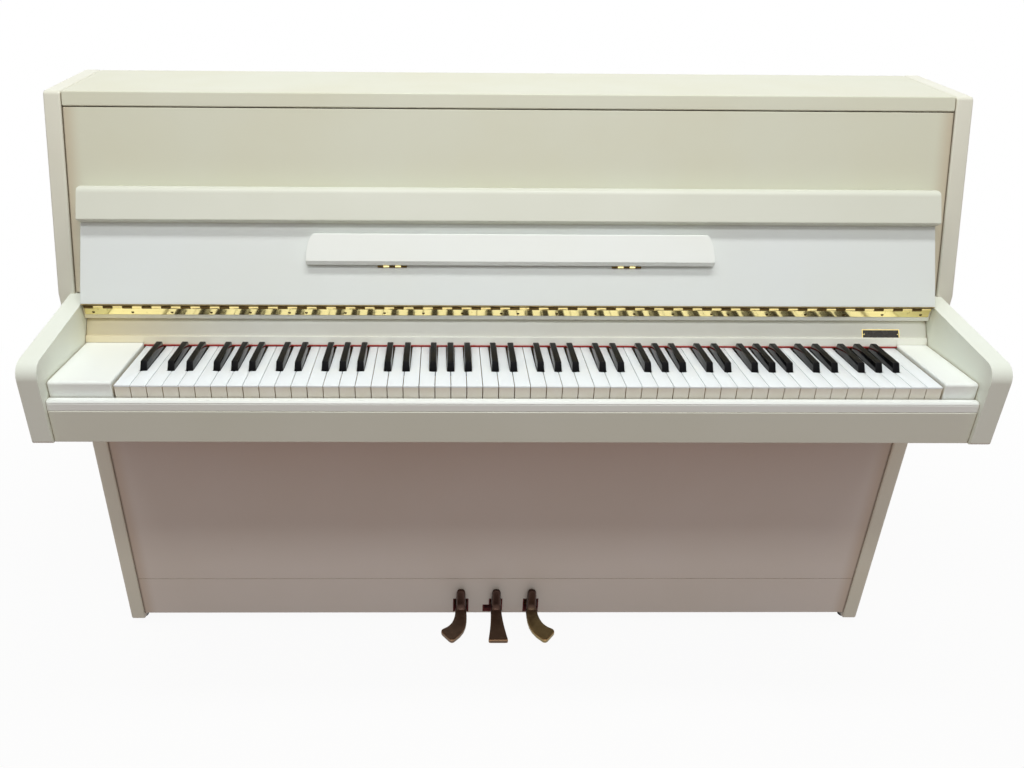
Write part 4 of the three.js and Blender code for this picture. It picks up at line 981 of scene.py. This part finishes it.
def make_rail_plate():
    """A plain stamped brass plate with a sunk field of black enamel and a pin at each end."""
    bm = bmesh.new()
    x, z = PLATE_HALF, PLATE_H / 2
    rim = prism(bm, outline([(-x, -z, 1), (x, -z, 1), (x, z, 1), (-x, z, 1)]), "Y",
                -PLATE_T, -LAYER_GAP)
    soften(bm, edges_of([rim[0]]), 0.2, 2)
    brick(bm, (-x + PLATE_BORDER, -PLATE_T - 0.1, -z + PLATE_BORDER),
          (x - PLATE_BORDER, -PLATE_T + 0.1, z - PLATE_BORDER), 1)
    for at in (-x + PLATE_PIN, x - PLATE_PIN):
        pin = rod(bm, (at, -0.55, 0), (at, -PLATE_PIN_HEAD, 0), PLATE_PIN_R, 16)
        soften(bm, edges_of([pin[1]]), 0.25, 2)
    foot = Vector((PLATE_X, KEY_FRONT + NAME_SETBACK, WHITE_TOP + NAME_FOOT))
    bmesh.ops.transform(bm, verts=bm.verts, matrix=(
        Matrix.Translation(foot) @ Matrix.Rotation(-NAME_LEAN, 4, "X")
        @ Matrix.Translation((0, 0, PLATE_RISE))))
    make_piece("rail_plate", bm, [BRASS, ENAMEL], "case")


make_rail_plate()


# ---- Pedals ----
SLOT_X = {"left": -71.5, "middle": -1.5, "right": 69.0}
VOXEL = 1.1                      # the grid that a casting's skin is drawn on
RELAX = 26
HUMP_HALF = 9.0                  # the neck that rises in front of the rail, over the pivot
HUMP_HALF_DEPTH = 6.5
HUMP_MIDDLE = 11.5               # its middle in front of the rail's face
HUMP_FOOT = 48.0
HUMP_TOP = 93.0
HUMP_FULL = 1.18                 # its width at the foot, as a share of the square neck's
HUMP_TAPER = 0.22
HUMP_CROWN = 0.2                 # this share of its height is rounded off
SLOPE_RUN = 30.0                 # the neck flows out on to the pad over this length
SLOPE_RISE = 9.0
SLOPE_HALF = 13.0
PIN_START = 6.2                  # outside this the pivot's pins are turned down to a share of
PIN_SHARE = 0.86                 # their girth, clear of their holes
PIN_REACH = 5.0


def rounded_hump(point, x):
    """Moves a point of the square neck of a pedal on to a rounded, tapering one, and lets its
    foot flow out on to the pad."""
    middle = PEDAL_FACE - HUMP_MIDDLE
    ahead = (middle - HUMP_HALF_DEPTH - point.y) / SLOPE_RUN
    if point.z > HUMP_FOOT - 1 and 0 < ahead < 1:
        point = Vector(point)
        across = (point.x - x) / SLOPE_HALF
        point.z += SLOPE_RISE * (1 - ahead) ** 2 * max(0.0, 1 - across ** 2)
        return point
    rise = (point.z - HUMP_FOOT) / (HUMP_TOP - HUMP_FOOT)
    if rise <= 0 or point.y > middle + HUMP_HALF_DEPTH + 1:
        return point
    u = max(-1.0, min(1.0, (point.x - x) / HUMP_HALF))
    v = max(-1.0, min(1.0, (point.y - middle) / HUMP_HALF_DEPTH))
    share = min(1.0, rise * 3)
    width = HUMP_FULL - HUMP_TAPER * rise
    crown = max(0.0, (rise - (1 - HUMP_CROWN)) / HUMP_CROWN)
    width *= math.sqrt(1 - 0.5 * min(1.0, crown) ** 2)
    return Vector((x + (point.x - x) * (1 + share * (width * math.sqrt(1 - v * v / 2) - 1)),
                   point.y - share * (v * (1 - math.sqrt(1 - u * u / 2)) * HUMP_HALF_DEPTH),
                   point.z))


def make_pedal(side, light, dark, worn):
    """A cast pedal: the plain solid's skin is drawn again on a fine grid, its neck rounded and
    its edges relaxed until they flow like a casting's."""
    node = NODES[f"pedal_{side}"]
    mesh = node.data.copy()
    body = bpy.data.objects.new(f"bronze_pedal_{side}", mesh)
    bpy.context.scene.collection.objects.link(body)
    weld = body.modifiers.new("weld", "WELD")
    weld.merge_threshold = WELD * MM
    grid = body.modifiers.new("grid", "REMESH")
    grid.mode = "VOXEL"
    grid.voxel_size = VOXEL * MM
    gridded = bpy.data.meshes.new_from_object(
        body.evaluated_get(bpy.context.evaluated_depsgraph_get()))
    body.modifiers.clear()
    body.data = gridded
    x = SLOT_X[side]
    for vert in gridded.vertices:
        vert.co = rounded_hump(vert.co / MM, x) * MM
    relax = body.modifiers.new("relax", "SMOOTH")
    relax.factor = 0.5
    relax.iterations = RELAX
    final = bpy.data.meshes.new_from_object(
        body.evaluated_get(bpy.context.evaluated_depsgraph_get()))
    bpy.data.objects.remove(body)
    pivot = joint_mm(f"pedal_{side}_hinge") * MM
    for vert in final.vertices:
        near = abs(vert.co.y - pivot.y) < PIN_REACH * MM
        if near and abs(vert.co.x - x * MM) > PIN_START * MM:
            vert.co.y = pivot.y + (vert.co.y - pivot.y) * PIN_SHARE
            vert.co.z = pivot.z + (vert.co.z - pivot.z) * PIN_SHARE
    final.materials.clear()
    final.materials.append(pedal_bronze(f"pedal_bronze_{side}", light, dark, worn))
    final.shade_smooth()
    made = bpy.data.objects.new(f"bronze_pedal_{side}", final)
    bpy.context.scene.collection.objects.link(made)
    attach(made, f"pedal_{side}_body")
    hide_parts(f"pedal_{side}")


for side, light, dark, worn in (("left", "7A695A", "5C4C40", 0.55),
                                ("middle", "6E5C4C", "514136", 0.6),
                                ("right", "94855F", "6E6142", 0.9)):
    make_pedal(side, light, dark, worn)


# ---- Felt in the pedal slots ----
SLOT_WIDTHS = {"left": 31.0, "middle": 27.0, "right": 31.0}
SLOT_FOOT = 28.5
SLOT_HEAD = 61.5
SLOT_NOTCH = 12.5                # the middle slot runs on this far to the left, low down
SLOT_NOTCH_HEAD = 46.5
SLOT_FELT_T = 2.2
SLOT_FELT_SEAT = 0.1             # the felt's back stands off the wood by this
SLOT_FELT_FRONT = 0.8            # and its edges stand in from the rail's front and back
SLOT_FELT_BACK = 0.5


def make_slot_felts():
    """Dark red felt glued round the inside of each pedal slot, and of the middle one's notch."""
    rail_low, rail_high = box_mm("bottom_rail")
    y0, y1 = rail_low.y + SLOT_FELT_FRONT, rail_high.y - SLOT_FELT_BACK
    seat, thick = SLOT_FELT_SEAT, SLOT_FELT_T
    for side, width in SLOT_WIDTHS.items():
        notched = side == "middle"
        left, right = SLOT_X[side] - width / 2, SLOT_X[side] + width / 2
        end = left - SLOT_NOTCH if notched else left
        step = SLOT_NOTCH_HEAD if notched else SLOT_FOOT
        strips = [((end + seat, SLOT_FOOT + seat), (right - seat, SLOT_FOOT + thick)),
                  ((right - thick, SLOT_FOOT), (right - seat, SLOT_HEAD - seat)),
                  ((left + seat, step), (left + thick, SLOT_HEAD - seat)),
                  ((left, SLOT_HEAD - thick), (right, SLOT_HEAD - seat))]
        if notched:
            strips.append(((end + seat, SLOT_FOOT), (end + thick, SLOT_NOTCH_HEAD - seat)))
            strips.append(((end, SLOT_NOTCH_HEAD - thick), (left, SLOT_NOTCH_HEAD - seat)))
        bm = bmesh.new()
        for (x0, z0), (x1, z1) in strips:
            brick(bm, (x0, y0, z0), (x1, y1, z1))
        make_piece(f"slot_felt_{side}", bm, [SLOT_FELT], "case")


make_slot_felts()


# ---- Floor, lamps and world ----
FLOOR_RADIUS = 14.0              # metres, as all in this section
FLOOR_CLEAR = 0.9                # shadows are whole to here
FLOOR_WHITE = 2.2                # and gone from here
FLOOR_GLOW = 0.94                # share of plain white in the near floor
ROOM_LIGHT = 0.27


def make_floor():
    """A pale floor that holds the piano's soft shadow and fades to white further out. The light
    that it throws back up is that of the brown boards it stands for."""
    bm = bmesh.new()
    bmesh.ops.create_circle(bm, cap_ends=True, segments=96, radius=FLOOR_RADIUS)
    mesh = bpy.data.meshes.new("floor")
    bm.to_mesh(mesh)
    bm.free()
    floor = bpy.data.objects.new("floor", mesh)
    bpy.context.scene.collection.objects.link(floor)
    material = bpy.data.materials.new("studio_floor")
    material.use_nodes = True
    tree = material.node_tree
    tree.nodes.clear()
    at = add(tree, "ShaderNodeTexCoord")
    reach = add(tree, "ShaderNodeVectorMath", {0: (at, "Object")}, operation="LENGTH")
    far = add(tree, RANGE, {"Value": (reach, "Value"), "From Min": FLOOR_CLEAR,
                            "From Max": FLOOR_WHITE}, interpolation_type="SMOOTHSTEP")
    ray = add(tree, "ShaderNodeLightPath")
    seen = add(tree, "ShaderNodeMath", {0: (ray, "Is Camera Ray"), 1: (ray, "Is Glossy Ray")},
               operation="MAXIMUM")
    boards = add(tree, "ShaderNodeBsdfDiffuse", {"Color": colour("8E6A62")})
    pale = add(tree, "ShaderNodeBsdfDiffuse", {"Color": colour("E4E3E1")})
    glow = add(tree, "ShaderNodeEmission", {"Color": colour("FFFFFF"), "Strength": 1.0})
    near = add(tree, "ShaderNodeMixShader", {0: FLOOR_GLOW, 1: (pale, 0), 2: (glow, 0)})
    fade = add(tree, "ShaderNodeMixShader", {0: (far, "Result"), 1: (near, 0), 2: (glow, 0)})
    mixed = add(tree, "ShaderNodeMixShader", {0: (seen, "Value"), 1: (boards, 0), 2: (fade, 0)})
    add(tree, "ShaderNodeOutputMaterial", {"Surface": (mixed, 0)})
    mesh.materials.append(material)


def make_world():
    """An even white room, dimmer as light than it is to the eye."""
    world = bpy.data.worlds.new("room")
    world.use_nodes = True
    tree = world.node_tree
    tree.nodes.clear()
    ray = add(tree, "ShaderNodeLightPath")
    direct = add(tree, "ShaderNodeMath", {0: (ray, "Is Camera Ray"), 1: (ray, "Is Glossy Ray")},
                 operation="MAXIMUM")
    seen = add(tree, "ShaderNodeMath", {0: (direct, "Value"), 1: (ray, "Is Transmission Ray")},
               operation="MAXIMUM")
    light = add(tree, "ShaderNodeBackground", {"Color": colour("FFFDF8"),
                                               "Strength": ROOM_LIGHT})
    white = add(tree, "ShaderNodeBackground", {"Color": colour("FFFFFF"), "Strength": 1.0})
    mixed = add(tree, "ShaderNodeMixShader", {0: (seen, "Value"), 1: (light, 0), 2: (white, 0)})
    add(tree, "ShaderNodeOutputWorld", {"Surface": (mixed, 0)})
    bpy.context.scene.world = world


LAMPS = (                        # name, place, aim, size and watts
    ("ceiling_over", (0.0, -0.35, 4.2), (0.0, -0.2, 0.0), (3.4, 0.5), 70),
    ("ceiling_front", (0.0, -2.4, 3.9), (0.0, -0.1, 0.4), (3.4, 0.5), 40),
    ("front_window", (0.3, -4.2, 3.2), (0.1, -0.1, 0.5), (3.2, 2.4), 17),
)


def make_lamp(name, at, target, size, watts):
    """A soft rectangular lamp aimed at a point."""
    data = bpy.data.lights.new(name, "AREA")
    data.shape = "RECTANGLE"
    data.size, data.size_y = size
    data.energy = watts
    lamp = bpy.data.objects.new(name, data)
    lamp.location = at
    lamp.rotation_euler = (Vector(target) - Vector(at)).to_track_quat("-Z", "Y").to_euler()
    bpy.context.scene.collection.objects.link(lamp)


make_floor()
make_world()
for lamp in LAMPS:
    make_lamp(*lamp)

scene = bpy.context.scene
scene.view_settings.view_transform = "Standard"
